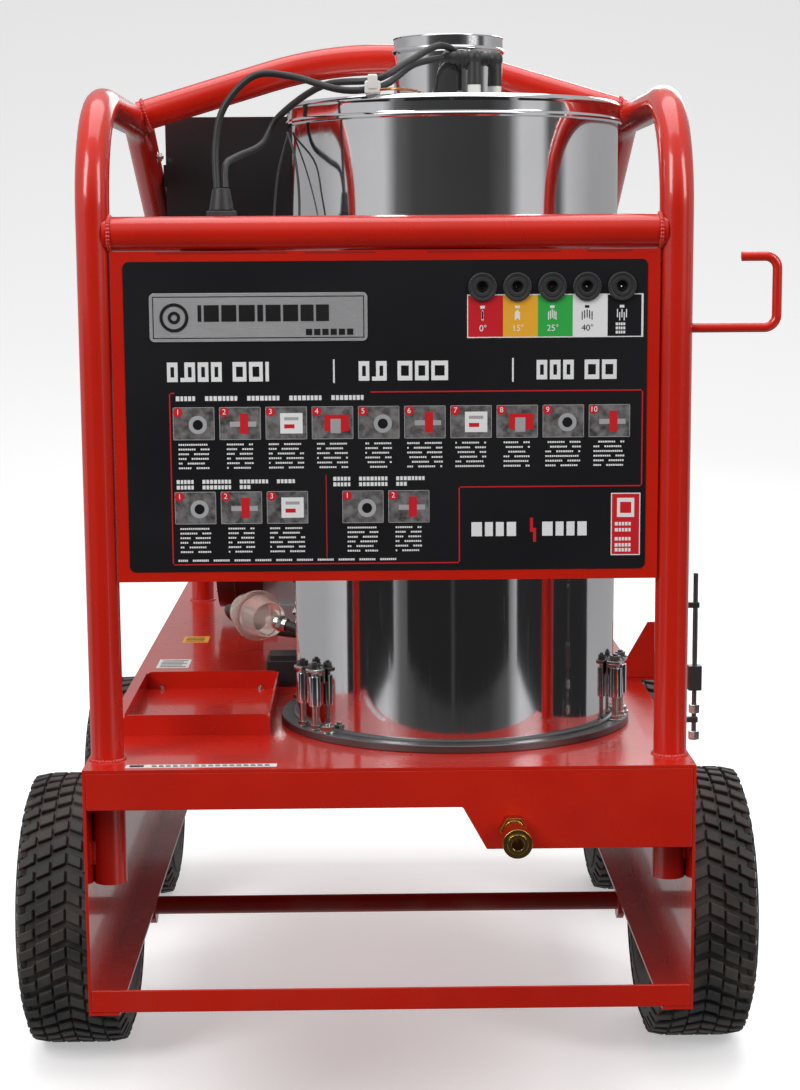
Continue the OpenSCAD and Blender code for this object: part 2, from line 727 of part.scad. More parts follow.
module recoil_handle() {
  c = crank_at;
  at = [engine_left - 50, c[1] - 132, c[2] + 100];
  color("black") {
    along_y([at[0], at[1], at[2]], 180, 8);
    translate([at[0] - 16, at[1] - 24, at[2] - 34]) soft_box([32, 24, 68], 8);
  }
}

module engine_tank() {
  c = crank_at;
  at = [engine_left - 20, c[1] - 40, c[2] + 232];
  color("black") difference() {
    union() {
      translate(at) soft_box([260, 190, 70], 30);
      translate([at[0] + 130, at[1] + 95, at[2] + 70]) cylinder(h = 14, d = 50);
      for (x = [30, 210]) translate([at[0] + x, at[1] + 85, deck_z + 202]) cube([20, 20, c[2] + 30 - deck_z]);
    }
    translate([at[0] + 4, at[1] + 4, at[2] + 4]) soft_box([252, 182, 62], 26);
    translate([at[0] + 130, at[1] + 95, at[2] + 60]) cylinder(h = 30, d = 40);
  }
}

module engine_tank_cap() {
  c = crank_at;
  color("silver") translate([engine_left + 110, c[1] + 55, c[2] + 302]) {
    translate([0, 0, 14 + gap]) cylinder(h = 12, d = 60);
    translate([0, 0, 2]) cylinder(h = 13, d = 40 - 2 * running);
  }
}

module muffler() {
  c = crank_at;
  color("silver") translate([engine_left + 60, c[1] - 260, c[2] + 92]) {
    soft_box([150, 72, 100], 12);
    translate([40, 72, 20]) cube([40, 60, 40]);
    translate([75, 0, 50]) rotate([90, 0, 0]) cylinder(h = 20, d = 30);
  }
}

module air_filter() {
  c = crank_at;
  color("black") translate([engine_left + 70, c[1] + 106, c[2] + 70]) {
    soft_box([120, 80, 130], 14);
    translate([10, 10, 130]) soft_box([100, 60, 14], 10);
    translate([30, -96, 30]) cube([50, 97, 50]);
  }
}

module throttle_lever() {
  c = crank_at;
  color("silver") translate([engine_left + 30, c[1] + 85, c[2] + 20]) rotate([-90, 0, 0]) {
    translate([0, 0, gap]) cylinder(h = 5, d = 24);
    translate([-4, -58, gap]) cube([8, 58, 4]);
    translate([-8, -66, gap]) cube([16, 12, 10]);
    translate([0, 0, -20]) cylinder(h = 21, d = throttle_pin - 2 * running);
  }
}

module pump_body() {
  c = crank_at;
  color("silver") difference() {
    union() {
      along_x([engine_right + 18, c[1], c[2]], 26, 130);
      translate([pump_left + 18, c[1] - 60, c[2] - 64]) cube([92, 120, 128]);
      translate([pump_left + 110, c[1] - 66, c[2] - 50]) cube([66, 132, 100]);
      for (y = [-40, 0, 40], z = [-24, 24]) along_x([pump_left + 176, c[1] + y, c[2] + z], 12, 26);
      translate([pump_left + 130, c[1] - 20, c[2] + 50]) cube([40, 40, 60]);
      translate([pump_left + 40, c[1] - 75, deck_z]) cube([50, 150, 60]);
    }
    along_x([engine_right + 17, c[1], c[2]], 30, crank_d + 2 * running);
    along_x([pump_left, c[1], c[2]], 60, crank_d + 2 * running);
    translate([pump_left + 150, c[1], c[2] + 90]) cylinder(h = 30, d = 12 + 2 * running);
  }
}

module unloader_knob() {
  c = crank_at;
  color("red") translate([pump_left + 150, c[1], c[2] + 110]) {
    translate([0, 0, gap]) cylinder(h = 26, d = 34);
    translate([0, 0, -16]) cylinder(h = 17, d = 12);
  }
}

// ---- controls ----

module control_box() {
  color("black") difference() {
    translate([-box_w / 2, box_y, 0]) rotate([90, 0, 90]) linear_extrude(box_w)
      polygon([[0, 980], [0, box_top], [55, box_top], [box_back, box_top - 132], [box_back, 900]]);
    translate([-box_w / 2 + 3, box_y, 0]) rotate([90, 0, 90]) linear_extrude(box_w - 6)
      polygon([[3, 983], [3, box_top - 3], [54, box_top - 3], [box_back - 3, box_top - 134], [box_back - 3, 906]]);
    face_place(dial_at) translate([0, 0, -12]) cylinder(h = 24, d = 6 + 2 * running);
    face_place(rocker_at) translate([-11 - running, -15, -8]) cube([22 + 2 * running, 30, 16]);
  }
  color("black") face_place(rocker_at) along_x([-13, 0, pin_depth], 26, rocker_pin);
  for (s = [-1, 1]) color(paint) translate([s > 0 ? box_w / 2 : -box_w / 2 - tab_t, box_y, 1036]) cube([tab_t, 30, 26]);
}

// Places children on the control box's sloping face, with their Z along its outward normal.
module face_place(at) {
  z = box_top - (y0 + at[1] - box_y - 55) * tan(face_tilt);
  translate([at[0], y0 + at[1], z]) rotate([-face_tilt, 0, 0]) children();
}

module thermostat_knob() {
  color("black") face_place(dial_at) {
    translate([0, 0, gap]) cylinder(h = 18, d = 40);
    translate([0, 0, -10]) cylinder(h = 11, d = 6);
  }
}

module rocker_switch() {
  color("red") face_place(rocker_at) difference() {
    rotate([90, 0, 90]) translate([0, 0, -11]) linear_extrude(22)
      polygon([[-13, 3.5], [0, 1], [13, 6], [11, -3], [0, -6], [-11, -5]]);
    along_x([-12, 0, pin_depth], 24, rocker_pin + 2 * running);
  }
}

// ---- fittings ----

module coupler_body() {
  c = coupler_at;
  color("goldenrod") difference() {
    union() {
      along_y([c[0], y0 - coupler_reach, c[2]], coupler_reach + 28, 20);
      along_y([c[0], y0 - coupler_reach + 30, c[2]], 6, 25);
      translate([c[0], y0 - 16, c[2]]) rotate([-90, 0, 0]) cylinder(h = 16, d = 28, $fn = 6);
      translate([c[0], y0 + sheet, c[2]]) rotate([-90, 0, 0]) cylinder(h = 10, d = 28, $fn = 6);
    }
    along_y([c[0], y0 - coupler_reach - 1, c[2]], 31, coupler_bore);
  }
}

module coupler_collar() {
  c = coupler_at;
  color("gold") difference() {
    union() {
      along_y([c[0], y0 - coupler_reach + 2, c[2]], 22, collar_d);
    }
    along_y([c[0], y0 - coupler_reach, c[2]], 30, 20 + 2 * running);
  }
}

module drain_fitting() {
  color("goldenrod") translate([boiler_at[0] - 90, boiler_at[1], deck_z - 44]) {
    cylinder(h = 44 + flange_t, d = 19);
    translate([0, 0, -8]) cylinder(h = 18, d = 24, $fn = 6);
    translate([0, 0, 40 - sheet - 12]) cylinder(h = 12, d = 26, $fn = 6);
  }
}

module side_bracket() {
  y = y0 + 450;
  z = deck_z;
  color(paint) {
    translate([web_x - 30, y, z]) cube([50, 60, 4]);
    translate([0, y + 4, 0]) rotate([90, 0, 0]) linear_extrude(4)
      polygon([[web_x - 30, z + 4], [web_x + 20, z + 4], [web_x + 20, z + 70], [web_x + 8, z + 70]]);
  }
  color(steel) for (p = [[web_x - 18, y + 20, z + 4], [web_x + 6, y + 40, z + 4]]) translate(p) bolt_head(8);
  color("dimgray") {
    translate([web_x + 13, y0 + 110, z + 4]) cylinder(h = 172, d = 5);
    translate([web_x + 6, y0 + 104, z + 54]) cube([14, 12, 26]);
    for (h = [2, 30]) translate([web_x + 13, y0 + 110, z + h]) cylinder(h = 9, d = 12, $fn = 6);
    for (h = [20, 140]) translate([post_x + pipe_d / 2 - 4, y0 + 107, z + h]) cube([web_x + 17 - post_x - pipe_d / 2, 6, 6]);
  }
}

deck_chassis();
front_skirt();
cross_bars();
side_tube_left();
side_tube_right();
top_cross_tube();
arch_tube();
front_panel();
panel_decal();
nameplate();
nozzle_grommets();
hose_hook();
battery_tray();
axle_brackets();
front_axle();
rear_axle();
tyre_front_left();
tyre_front_right();
tyre_rear_left();
tyre_rear_right();
rim_front_left();
rim_front_right();
rim_rear_left();
rim_rear_right();
boiler_flange();
boiler_body();
boiler_lid();
chimney();
heating_coil();
boiler_clamps();
electrodes();
ignition_cables();
ground_wire();
cable_fittings();
transformer_box();
deck_module();
fuel_filter();
hoses();
fuel_tank();
fuel_cap();
burner_housing();
blower_wheel();
engine_block();
engine_shroud();
crankshaft();
recoil_handle();
engine_tank();
engine_tank_cap();
muffler();
air_filter();
throttle_lever();
pump_body();
unloader_knob();
control_box();
thermostat_knob();
rocker_switch();
coupler_body();
coupler_collar();
drain_fitting();
side_bracket();
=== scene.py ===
import json
import math
import bmesh
import bpy
from mathutils import Matrix, Vector

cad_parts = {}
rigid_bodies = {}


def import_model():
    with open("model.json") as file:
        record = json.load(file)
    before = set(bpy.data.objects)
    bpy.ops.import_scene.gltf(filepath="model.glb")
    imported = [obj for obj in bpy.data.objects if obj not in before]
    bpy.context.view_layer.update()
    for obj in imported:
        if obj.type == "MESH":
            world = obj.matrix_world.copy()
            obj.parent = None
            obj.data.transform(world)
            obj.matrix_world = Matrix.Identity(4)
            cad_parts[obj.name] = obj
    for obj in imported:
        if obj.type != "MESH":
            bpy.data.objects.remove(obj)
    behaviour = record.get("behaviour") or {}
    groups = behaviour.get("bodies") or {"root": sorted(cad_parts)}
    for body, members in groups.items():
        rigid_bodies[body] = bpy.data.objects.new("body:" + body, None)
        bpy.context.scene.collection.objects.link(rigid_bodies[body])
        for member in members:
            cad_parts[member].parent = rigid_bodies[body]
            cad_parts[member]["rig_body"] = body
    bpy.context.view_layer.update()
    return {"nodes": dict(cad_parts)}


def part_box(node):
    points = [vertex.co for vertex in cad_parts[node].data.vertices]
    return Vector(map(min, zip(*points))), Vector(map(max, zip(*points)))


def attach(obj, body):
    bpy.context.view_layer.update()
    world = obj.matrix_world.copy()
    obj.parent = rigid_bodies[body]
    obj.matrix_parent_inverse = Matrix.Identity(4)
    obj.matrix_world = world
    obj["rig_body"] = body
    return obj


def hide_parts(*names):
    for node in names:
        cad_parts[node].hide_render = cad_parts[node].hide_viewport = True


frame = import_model()
mm = 0.001

deckLow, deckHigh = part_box("deck_chassis")
frontY = deckLow.y
deckTop = deckHigh.z
crossLow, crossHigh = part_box("top_cross_tube")
pipeRadius = (crossHigh.z - crossLow.z) / 2
panelLow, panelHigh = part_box("front_panel")
postX = panelHigh.x + pipeRadius
postY = (crossLow.y + crossHigh.y) / 2


def place(x, y, z):
    # x from the middle, y from the deck's front edge, z from the ground, all in millimetres
    return Vector((x * mm, frontY + y * mm, z * mm))


def rise(height):
    return Vector((0, 0, height * mm))


def shift(across):
    return Vector((across * mm, 0, 0))


def push(back):
    return Vector((0, back * mm, 0))


def inMm(*pairs):
    return [tuple(value * mm for value in pair) for pair in pairs]


def middleOf(node):
    low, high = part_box(node)
    return (low + high) / 2


def pieceName(node):
    words = node.split("_")
    return words[0] + "".join(word.capitalize() for word in words[1:])


def linkObject(name, data):
    holder = bpy.data.objects.new(name, data)
    bpy.context.scene.collection.objects.link(holder)
    return holder


def meshFromCurve(curve):
    # the finished mesh of a curve or of text, whose own object is then removed
    holder = linkObject(curve.name, curve)
    bpy.context.view_layer.update()
    mesh = bpy.data.meshes.new_from_object(holder.evaluated_get(bpy.context.evaluated_depsgraph_get()))
    bpy.data.objects.remove(holder)
    return mesh


def newGroup(name, inputs, outputs):
    group = bpy.data.node_groups.new(name, "ShaderNodeTree")
    for label, kind, value in inputs:
        socket = group.interface.new_socket(label, in_out="INPUT", socket_type=kind)
        if value is not None:
            socket.default_value = value
    for label, kind in outputs:
        group.interface.new_socket(label, in_out="OUTPUT", socket_type=kind)
    source = group.nodes.new("NodeGroupInput")
    sink = group.nodes.new("NodeGroupOutput")
    return group, source, sink


def addNode(tree, kind, inputs=None, **settings):
    node = tree.nodes.new(kind)
    for key, value in settings.items():
        setattr(node, key, value)
    for key, value in (inputs or {}).items():
        if isinstance(value, bpy.types.NodeSocket):
            tree.links.new(value, node.inputs[key])
        else:
            node.inputs[key].default_value = value
    return node


def noiseAt(tree, vector, scale, detail=3.0, roughness=0.55):
    values = {"Vector": vector, "Scale": scale, "Detail": detail, "Roughness": roughness}
    return addNode(tree, "ShaderNodeTexNoise", values).outputs["Fac"]


def mathAt(tree, operation, first, second=0.0):
    return addNode(tree, "ShaderNodeMath", {0: first, 1: second}, operation=operation).outputs[0]


def remapAt(tree, value, low, high, outLow, outHigh):
    values = {"Value": value, "From Min": low, "From Max": high, "To Min": outLow, "To Max": outHigh}
    return addNode(tree, "ShaderNodeMapRange", values).outputs["Result"]


def mixAt(tree, factor, first, second):
    node = tree.nodes.new("ShaderNodeMix")
    node.data_type = "RGBA"
    for socket, value in ((node.inputs[0], factor), (node.inputs[6], first), (node.inputs[7], second)):
        if isinstance(value, bpy.types.NodeSocket):
            tree.links.new(value, socket)
        else:
            socket.default_value = value
    return node.outputs[2]


def buildMottle():
    # two tones of one colour, a fine grain height and a roughness drift
    group, source, sink = newGroup(
        "mottle",
        [("Tone", "NodeSocketColor", (0.5, 0.5, 0.5, 1)), ("Second", "NodeSocketColor", (0.4, 0.4, 0.4, 1)),
         ("Patch Scale", "NodeSocketFloat", 9.0), ("Grain Scale", "NodeSocketFloat", 900.0),
         ("Roughness", "NodeSocketFloat", 0.4), ("Drift", "NodeSocketFloat", 0.1)],
        [("Color", "NodeSocketColor"), ("Roughness", "NodeSocketFloat"), ("Height", "NodeSocketFloat")])
    coords = group.nodes.new("ShaderNodeTexCoord").outputs["Object"]
    patches = noiseAt(group, coords, source.outputs["Patch Scale"], 5.0)
    grain = noiseAt(group, coords, source.outputs["Grain Scale"], 2.0)
    mask = remapAt(group, patches, 0.35, 0.7, 0.0, 1.0)
    group.links.new(mixAt(group, mask, source.outputs["Tone"], source.outputs["Second"]),
                    sink.inputs["Color"])
    drift = mathAt(group, "MULTIPLY", mathAt(group, "SUBTRACT", patches, 0.5), source.outputs["Drift"])
    group.links.new(mathAt(group, "ADD", source.outputs["Roughness"], drift), sink.inputs["Roughness"])
    group.links.new(grain, sink.inputs["Height"])
    return group


def buildScratches():
    # fine lines drawn out along one axis, as a height and a mask
    group, source, sink = newGroup(
        "scratches",
        [("Stretch", "NodeSocketVector", (1.0, 1.0, 60.0)), ("Scale", "NodeSocketFloat", 60.0)],
        [("Mask", "NodeSocketFloat"), ("Height", "NodeSocketFloat")])
    coords = group.nodes.new("ShaderNodeTexCoord").outputs["Object"]
    drawn = addNode(group, "ShaderNodeVectorMath", {0: coords, 1: source.outputs["Stretch"]},
                    operation="MULTIPLY").outputs[0]
    lines = noiseAt(group, drawn, source.outputs["Scale"], 4.0, 0.7)
    group.links.new(remapAt(group, lines, 0.55, 0.72, 0.0, 1.0), sink.inputs["Mask"])
    group.links.new(lines, sink.inputs["Height"])
    return group


def buildDust():
    # a soft mask of dust in patches, stronger lower down on the machine
    group, source, sink = newGroup(
        "dust",
        [("Amount", "NodeSocketFloat", 0.2), ("Clean Height", "NodeSocketFloat", 0.5)],
        [("Mask", "NodeSocketFloat")])
    coords = group.nodes.new("ShaderNodeTexCoord").outputs["Object"]
    height = addNode(group, "ShaderNodeSeparateXYZ", {0: coords}).outputs["Z"]
    low = mathAt(group, "SUBTRACT", 1.0, mathAt(group, "DIVIDE", height, source.outputs["Clean Height"]))
    patches = remapAt(group, noiseAt(group, coords, 14.0, 6.0), 0.4, 0.75, 0.0, 1.0)
    mask = mathAt(group, "MULTIPLY", mathAt(group, "MULTIPLY", low, patches), source.outputs["Amount"])
    group.links.new(addNode(group, "ShaderNodeClamp", {0: mask}).outputs[0], sink.inputs["Mask"])
    return group


mottle = buildMottle()
scratches = buildScratches()
dust = buildDust()


def useGroup(tree, group, **inputs):
    node = tree.nodes.new("ShaderNodeGroup")
    node.node_tree = group
    for key, value in inputs.items():
        node.inputs[key.replace("_", " ")].default_value = value
    return node


def rgba(color):
    return (color[0], color[1], color[2], 1.0)


def makeFinish(name, tone, second, roughness, metallic=0.0, coat=0.0, coatRoughness=0.05, bump=0.2,
               grain=900.0, patches=9.0, drift=0.1, dusty=0.0, lines=None, lineBump=0.0, specular=0.5):
    # one finish: a mottled base, optional drawn-out lines and optional dust, under the maker's own sheen
    material = bpy.data.materials.new(name)
    material.use_nodes = True
    tree = material.node_tree
    shader = tree.nodes["Principled BSDF"]
    base = useGroup(tree, mottle, Tone=rgba(tone), Second=rgba(second), Patch_Scale=patches,
                    Grain_Scale=grain, Roughness=roughness, Drift=drift)
    color = base.outputs["Color"]
    rough = base.outputs["Roughness"]
    height = base.outputs["Height"]
    if lines:
        marks = useGroup(tree, scratches, Stretch=lines[:3], Scale=lines[3])
        height = mathAt(tree, "ADD", height, mathAt(tree, "MULTIPLY", marks.outputs["Height"], lineBump))
        rough = mathAt(tree, "ADD", rough, mathAt(tree, "MULTIPLY", marks.outputs["Mask"], 0.08))
    if dusty > 0:
        film = useGroup(tree, dust, Amount=dusty, Clean_Height=0.6).outputs["Mask"]
        color = mixAt(tree, film, color, (0.34, 0.28, 0.22, 1))
        rough = mathAt(tree, "ADD", rough, mathAt(tree, "MULTIPLY", film, 0.5))
    tree.links.new(color, shader.inputs["Base Color"])
    tree.links.new(rough, shader.inputs["Roughness"])
    relief = addNode(tree, "ShaderNodeBump", {"Strength": bump, "Distance": 0.0004, "Height": height})
    tree.links.new(relief.outputs["Normal"], shader.inputs["Normal"])
    shader.inputs["Metallic"].default_value = metallic
    shader.inputs["Coat Weight"].default_value = coat
    shader.inputs["Coat Roughness"].default_value = coatRoughness
    shader.inputs["Specular IOR Level"].default_value = specular
    return material


redPaint = makeFinish("redPaint", (0.60, 0.015, 0.004), (0.52, 0.011, 0.004), 0.27, coat=0.6,
                      coatRoughness=0.08, bump=0.05, grain=420.0, dusty=0.04, specular=0.4)
darkRedPaint = makeFinish("darkRedPaint", (0.34, 0.012, 0.006), (0.25, 0.009, 0.005), 0.42, coat=0.3,
                          dusty=0.25)
stainless = makeFinish("stainless", (0.72, 0.72, 0.735), (0.66, 0.66, 0.68), 0.07, metallic=1.0, bump=0.10,
                       grain=14.0, drift=0.04, lines=(1.0, 1.0, 0.05, 180.0), lineBump=0.15)
hotSteel = makeFinish("hotSteel", (0.20, 0.20, 0.205), (0.13, 0.125, 0.12), 0.38, metallic=0.9, bump=0.3,
                      grain=300.0, drift=0.3)
zincPlate = makeFinish("zincPlate", (0.62, 0.61, 0.58), (0.50, 0.50, 0.49), 0.24, metallic=1.0, bump=0.15,
                       patches=60.0, drift=0.2)
castMetal = makeFinish("castMetal", (0.42, 0.42, 0.42), (0.33, 0.33, 0.335), 0.52, metallic=0.85, bump=0.6,
                       grain=700.0, drift=0.2)
brassMetal = makeFinish("brassMetal", (0.66, 0.44, 0.13), (0.50, 0.32, 0.09), 0.22, metallic=1.0, bump=0.12,
                        patches=70.0, drift=0.2)
copperMetal = makeFinish("copperMetal", (0.70, 0.32, 0.14), (0.52, 0.22, 0.10), 0.3, metallic=1.0,
                         patches=90.0)
blackRubber = makeFinish("blackRubber", (0.018, 0.018, 0.019), (0.028, 0.028, 0.028), 0.48, bump=0.35,
                         drift=0.25)
tyreRubber = makeFinish("tyreRubber", (0.020, 0.020, 0.021), (0.034, 0.033, 0.032), 0.62, bump=0.7,
                        grain=1400.0, patches=26.0, drift=0.3, dusty=0.35)
blackPlastic = makeFinish("blackPlastic", (0.016, 0.016, 0.018), (0.022, 0.022, 0.024), 0.42, bump=0.5,
                          grain=1500.0, drift=0.1)
blackEnamel = makeFinish("blackEnamel", (0.012, 0.012, 0.013), (0.017, 0.017, 0.018), 0.30, coat=0.35,
                         bump=0.12, grain=600.0)
decalFilm = makeFinish("decalFilm", (0.0095, 0.0095, 0.011), (0.012, 0.012, 0.0135), 0.36, bump=0.04,
                       grain=500.0, specular=0.35)
whiteInk = makeFinish("whiteInk", (0.82, 0.82, 0.82), (0.76, 0.76, 0.76), 0.4, bump=0.02)
greyInk = makeFinish("greyInk", (0.40, 0.40, 0.41), (0.33, 0.33, 0.34), 0.45, bump=0.02)
redInk = makeFinish("redInk", (0.62, 0.012, 0.022), (0.56, 0.010, 0.018), 0.4, bump=0.02)
yellowInk = makeFinish("yellowInk", (0.85, 0.42, 0.03), (0.80, 0.38, 0.03), 0.4, bump=0.02)
greenInk = makeFinish("greenInk", (0.03, 0.42, 0.07), (0.03, 0.38, 0.06), 0.4, bump=0.02)
rimEnamel = makeFinish("rimEnamel", (0.74, 0.74, 0.72), (0.68, 0.68, 0.66), 0.3, coat=0.4, dusty=0.3)
brushedPlate = makeFinish("brushedPlate", (0.56, 0.56, 0.57), (0.48, 0.48, 0.49), 0.36, metallic=0.55,
                          bump=0.5, grain=200.0, lines=(0.03, 1.0, 1.0, 2500.0), lineBump=1.2)
porcelain = makeFinish("porcelain", (0.78, 0.77, 0.73), (0.72, 0.71, 0.67), 0.18, coat=0.5, bump=0.03)
redPlastic = makeFinish("redPlastic", (0.55, 0.016, 0.012), (0.48, 0.013, 0.010), 0.32, bump=0.2)
coilSteel = makeFinish("coilSteel", (0.24, 0.22, 0.20), (0.16, 0.14, 0.13), 0.5, metallic=0.8)
photoInk = makeFinish("photoInk", (0.20, 0.19, 0.19), (0.035, 0.03, 0.03), 0.4, bump=0.02, patches=130.0)


def makeClearPlastic():
    material = bpy.data.materials.new("clearPlastic")
    material.use_nodes = True
    tree = material.node_tree
    shader = tree.nodes["Principled BSDF"]
    base = useGroup(tree, mottle, Tone=(0.92, 0.80, 0.74, 1), Second=(0.86, 0.70, 0.62, 1), Patch_Scale=30.0,
                    Grain_Scale=300.0, Roughness=0.12, Drift=0.1)
    tree.links.new(base.outputs["Color"], shader.inputs["Base Color"])
    tree.links.new(base.outputs["Roughness"], shader.inputs["Roughness"])
    shader.inputs["Transmission Weight"].default_value = 0.75
    shader.inputs["IOR"].default_value = 1.4
    return material


clearPlastic = makeClearPlastic()
print("finishes ready")


def finishPiece(name, bm, material, body="chassis", replaces=(), smoothAngle=35, recalc=True):
    if recalc:
        bmesh.ops.recalc_face_normals(bm, faces=bm.faces)
    mesh = bpy.data.meshes.new(name)
    bm.to_mesh(mesh)
    bm.free()
    for face in mesh.polygons:
        face.use_smooth = True
    mesh.set_sharp_from_angle(angle=math.radians(smoothAngle))
    mesh.materials.append(material)
    piece = linkObject(name, mesh)
    weigh = piece.modifiers.new("faceWeights", "WEIGHTED_NORMAL")  # keeps flats flat beside their soft edges
    weigh.keep_sharp = True
    weigh.weight = 90
    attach(piece, body)
    if replaces:
        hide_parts(*replaces)
    return piece


def turnTo(axis):
    return Vector((0, 0, 1)).rotation_difference(Vector(axis).normalized()).to_matrix().to_4x4()


def softenEdges(bm, edges, width, segments=2):
    bmesh.ops.bevel(bm, geom=list(edges), offset=width, segments=segments, profile=0.5, affect="EDGES",
                    clamp_overlap=True, material=-1)


def addBlock(bm, low, high, soft=0.0, segments=2):
    # a block between two corners, its edges rounded by soft
    low = Vector(low)
    high = Vector(high)
    size = high - low
    made = bmesh.ops.create_cube(bm, size=1.0)["verts"]
    matrix = Matrix.Translation((low + high) / 2) @ Matrix.Diagonal((*size, 1))
    bmesh.ops.transform(bm, matrix=matrix, verts=made)
    if soft > 0:
        edges = {edge for vert in made for edge in vert.link_edges}
        softenEdges(bm, edges, soft, segments)


def addRod(bm, start, end, radius, radiusEnd=None, sides=32, soft=0.0):
    # a round bar or cone from start to end, its rims rounded by soft
    start = Vector(start)
    end = Vector(end)
    made = bmesh.ops.create_cone(bm, cap_ends=True, cap_tris=False, segments=sides, radius1=radius,
                                 radius2=radius if radiusEnd is None else radiusEnd,
                                 depth=(end - start).length)["verts"]
    matrix = Matrix.Translation((start + end) / 2) @ turnTo(end - start)
    bmesh.ops.transform(bm, matrix=matrix, verts=made)
    if soft > 0:
        caps = {face for vert in made for face in vert.link_faces if len(face.verts) > 4 or sides < 5}
        edges = {edge for face in caps for edge in face.edges}
        softenEdges(bm, edges, soft)


def addLathe(bm, outline, center, axis=(0, 0, 1), steps=64, closed=False):
    # spins an outline of (radius, height) pairs about an axis through center
    verts = [bm.verts.new((radius, 0, height)) for radius, height in outline]
    edges = [bm.edges.new(pair) for pair in zip(verts, verts[1:])]
    if closed:
        edges.append(bm.edges.new((verts[-1], verts[0])))
    before = set(bm.verts) - set(verts)
    bmesh.ops.spin(bm, geom=verts + edges, cent=(0, 0, 0), axis=(0, 0, 1), angle=math.tau, steps=steps,
                   use_merge=True)
    made = [vert for vert in bm.verts if vert not in before]
    bmesh.ops.remove_doubles(bm, verts=made, dist=1e-6)
    made = [vert for vert in bm.verts if vert not in before]
    bmesh.ops.transform(bm, matrix=Matrix.Translation(center) @ turnTo(axis), verts=made)


def addMoved(bm, matrix, add, *shape, **options):
    # adds one shape at the origin, then carries it to its place
    known = set(bm.verts)
    add(bm, *shape, **options)
    made = [vert for vert in bm.verts if vert not in known]
    bmesh.ops.transform(bm, matrix=matrix, verts=made)
    return made


def addHexBolt(bm, at, axis, size):
    # a hexagon head with its washer, standing along axis
    at = Vector(at)
    axis = Vector(axis).normalized()
    addRod(bm, at, at + axis * size * 0.2, size * 1.1, sides=24, soft=size * 0.05)
    addRod(bm, at + axis * size * 0.2, at + axis * size * 0.85, size * 0.9, sides=6, soft=size * 0.08)
    addRod(bm, at + axis * size * 0.85, at + axis * size * 1.15, size * 0.45, sides=16, soft=size * 0.08)


def roundedPath(corners, radius, steps=10):
    # a polyline whose inner corners are replaced by arcs of one radius
    path = [Vector(corners[0])]
    for before, corner, after in zip(corners, corners[1:], corners[2:]):
        before, corner, after = Vector(before), Vector(corner), Vector(after)
        inward = (before - corner).normalized()
        outward = (after - corner).normalized()
        half = inward.angle(outward) / 2
        reach = radius / math.tan(half)
        center = corner + (inward + outward).normalized() * radius / math.sin(half)
        first = corner + inward * reach - center
        last = corner + outward * reach - center
        sweep = first.angle(last)
        for step in range(steps + 1):
            share = step / steps
            path.append(center + (first * math.sin((1 - share) * sweep) + last * math.sin(share * sweep))
                        / math.sin(sweep))
    path.append(Vector(corners[-1]))
    return path


def smoothPath(points, steps=6):
    # a curve through listed points, as in the design
    path = []
    last = len(points) - 1
    for i in range(last):
        a, b = points[max(i - 1, 0)], points[i]
        c, d = points[i + 1], points[min(i + 2, last)]
        for k in range(steps):
            t = k / steps
            path.append(0.5 * (2 * b + (c - a) * t + (2 * a - 5 * b + 4 * c - d) * t * t
                               + (3 * b - a - 3 * c + d) * t ** 3))
    path.append(points[last])
    return path


def makeTube(name, path, radius, material, replaces=(), sides=4, bore=0.0):
    # a round tube along a path; bore opens its ends
    curve = bpy.data.curves.new(name, "CURVE")
    curve.dimensions = "3D"
    spline = curve.splines.new("POLY")
    spline.points.add(len(path) - 1)
    for point, at in zip(spline.points, path):
        point.co = (*at, 1.0)
    curve.bevel_depth = radius
    curve.bevel_resolution = sides
    curve.use_fill_caps = bore == 0
    mesh = meshFromCurve(curve)
    bm = bmesh.new()
    bm.from_mesh(mesh)
    bpy.data.meshes.remove(mesh)
    bmesh.ops.remove_doubles(bm, verts=bm.verts, dist=1e-6)
    bmesh.ops.recalc_face_normals(bm, faces=bm.faces)
    if bore:
        bmesh.ops.solidify(bm, geom=bm.faces, thickness=radius - bore)
    return finishPiece(name, bm, material, replaces=replaces, smoothAngle=50)


def polishNode(node, material, width=0.0008, segments=2, angle=28, smoothAngle=35):
    # a copy of one CAD solid with its flats cleaned up and its edges rounded
    source = frame["nodes"][node]
    bm = bmesh.new()
    bm.from_mesh(source.data)
    bmesh.ops.remove_doubles(bm, verts=bm.verts, dist=1e-5)
    bmesh.ops.dissolve_limit(bm, angle_limit=math.radians(0.5), use_dissolve_boundaries=False,
                             verts=bm.verts, edges=bm.edges, delimit={"NORMAL"})
    sharp = [edge for edge in bm.edges
             if len(edge.link_faces) == 2 and edge.calc_face_angle(0.0) > math.radians(angle)]
    softenEdges(bm, sharp, width, segments)
    return finishPiece(pieceName(node), bm, material, source["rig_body"], (node,), smoothAngle,
                       recalc=False)


view = {"lens": 72.66, "shiftY": 0.0688, "tilt": (80.853, 0.376, -0.874), "side": -19, "back": 2120,
        "height": 942}


def makeCamera():
    camera = bpy.data.cameras.new("camera")
    camera.sensor_width = 36
    camera.lens = view["lens"]
    camera.shift_y = view["shiftY"]
    camera.clip_end = 60
    holder = linkObject("camera", camera)
    holder.location = place(view["side"], -view["back"], view["height"])
    holder.rotation_euler = [math.radians(angle) for angle in view["tilt"]]
    bpy.context.scene.camera = holder


floorShape = {"half": 9, "front": -3.1, "back": 7, "rise": 8, "curve": 2.5, "tone": 0.88, "glow": 0.40}


def raiseEdges(bm, edges, height):
    risen = bmesh.ops.extrude_edge_only(bm, edges=edges)["geom"]
    tops = [item for item in risen if isinstance(item, bmesh.types.BMVert)]
    bmesh.ops.translate(bm, vec=(0, 0, height), verts=tops)


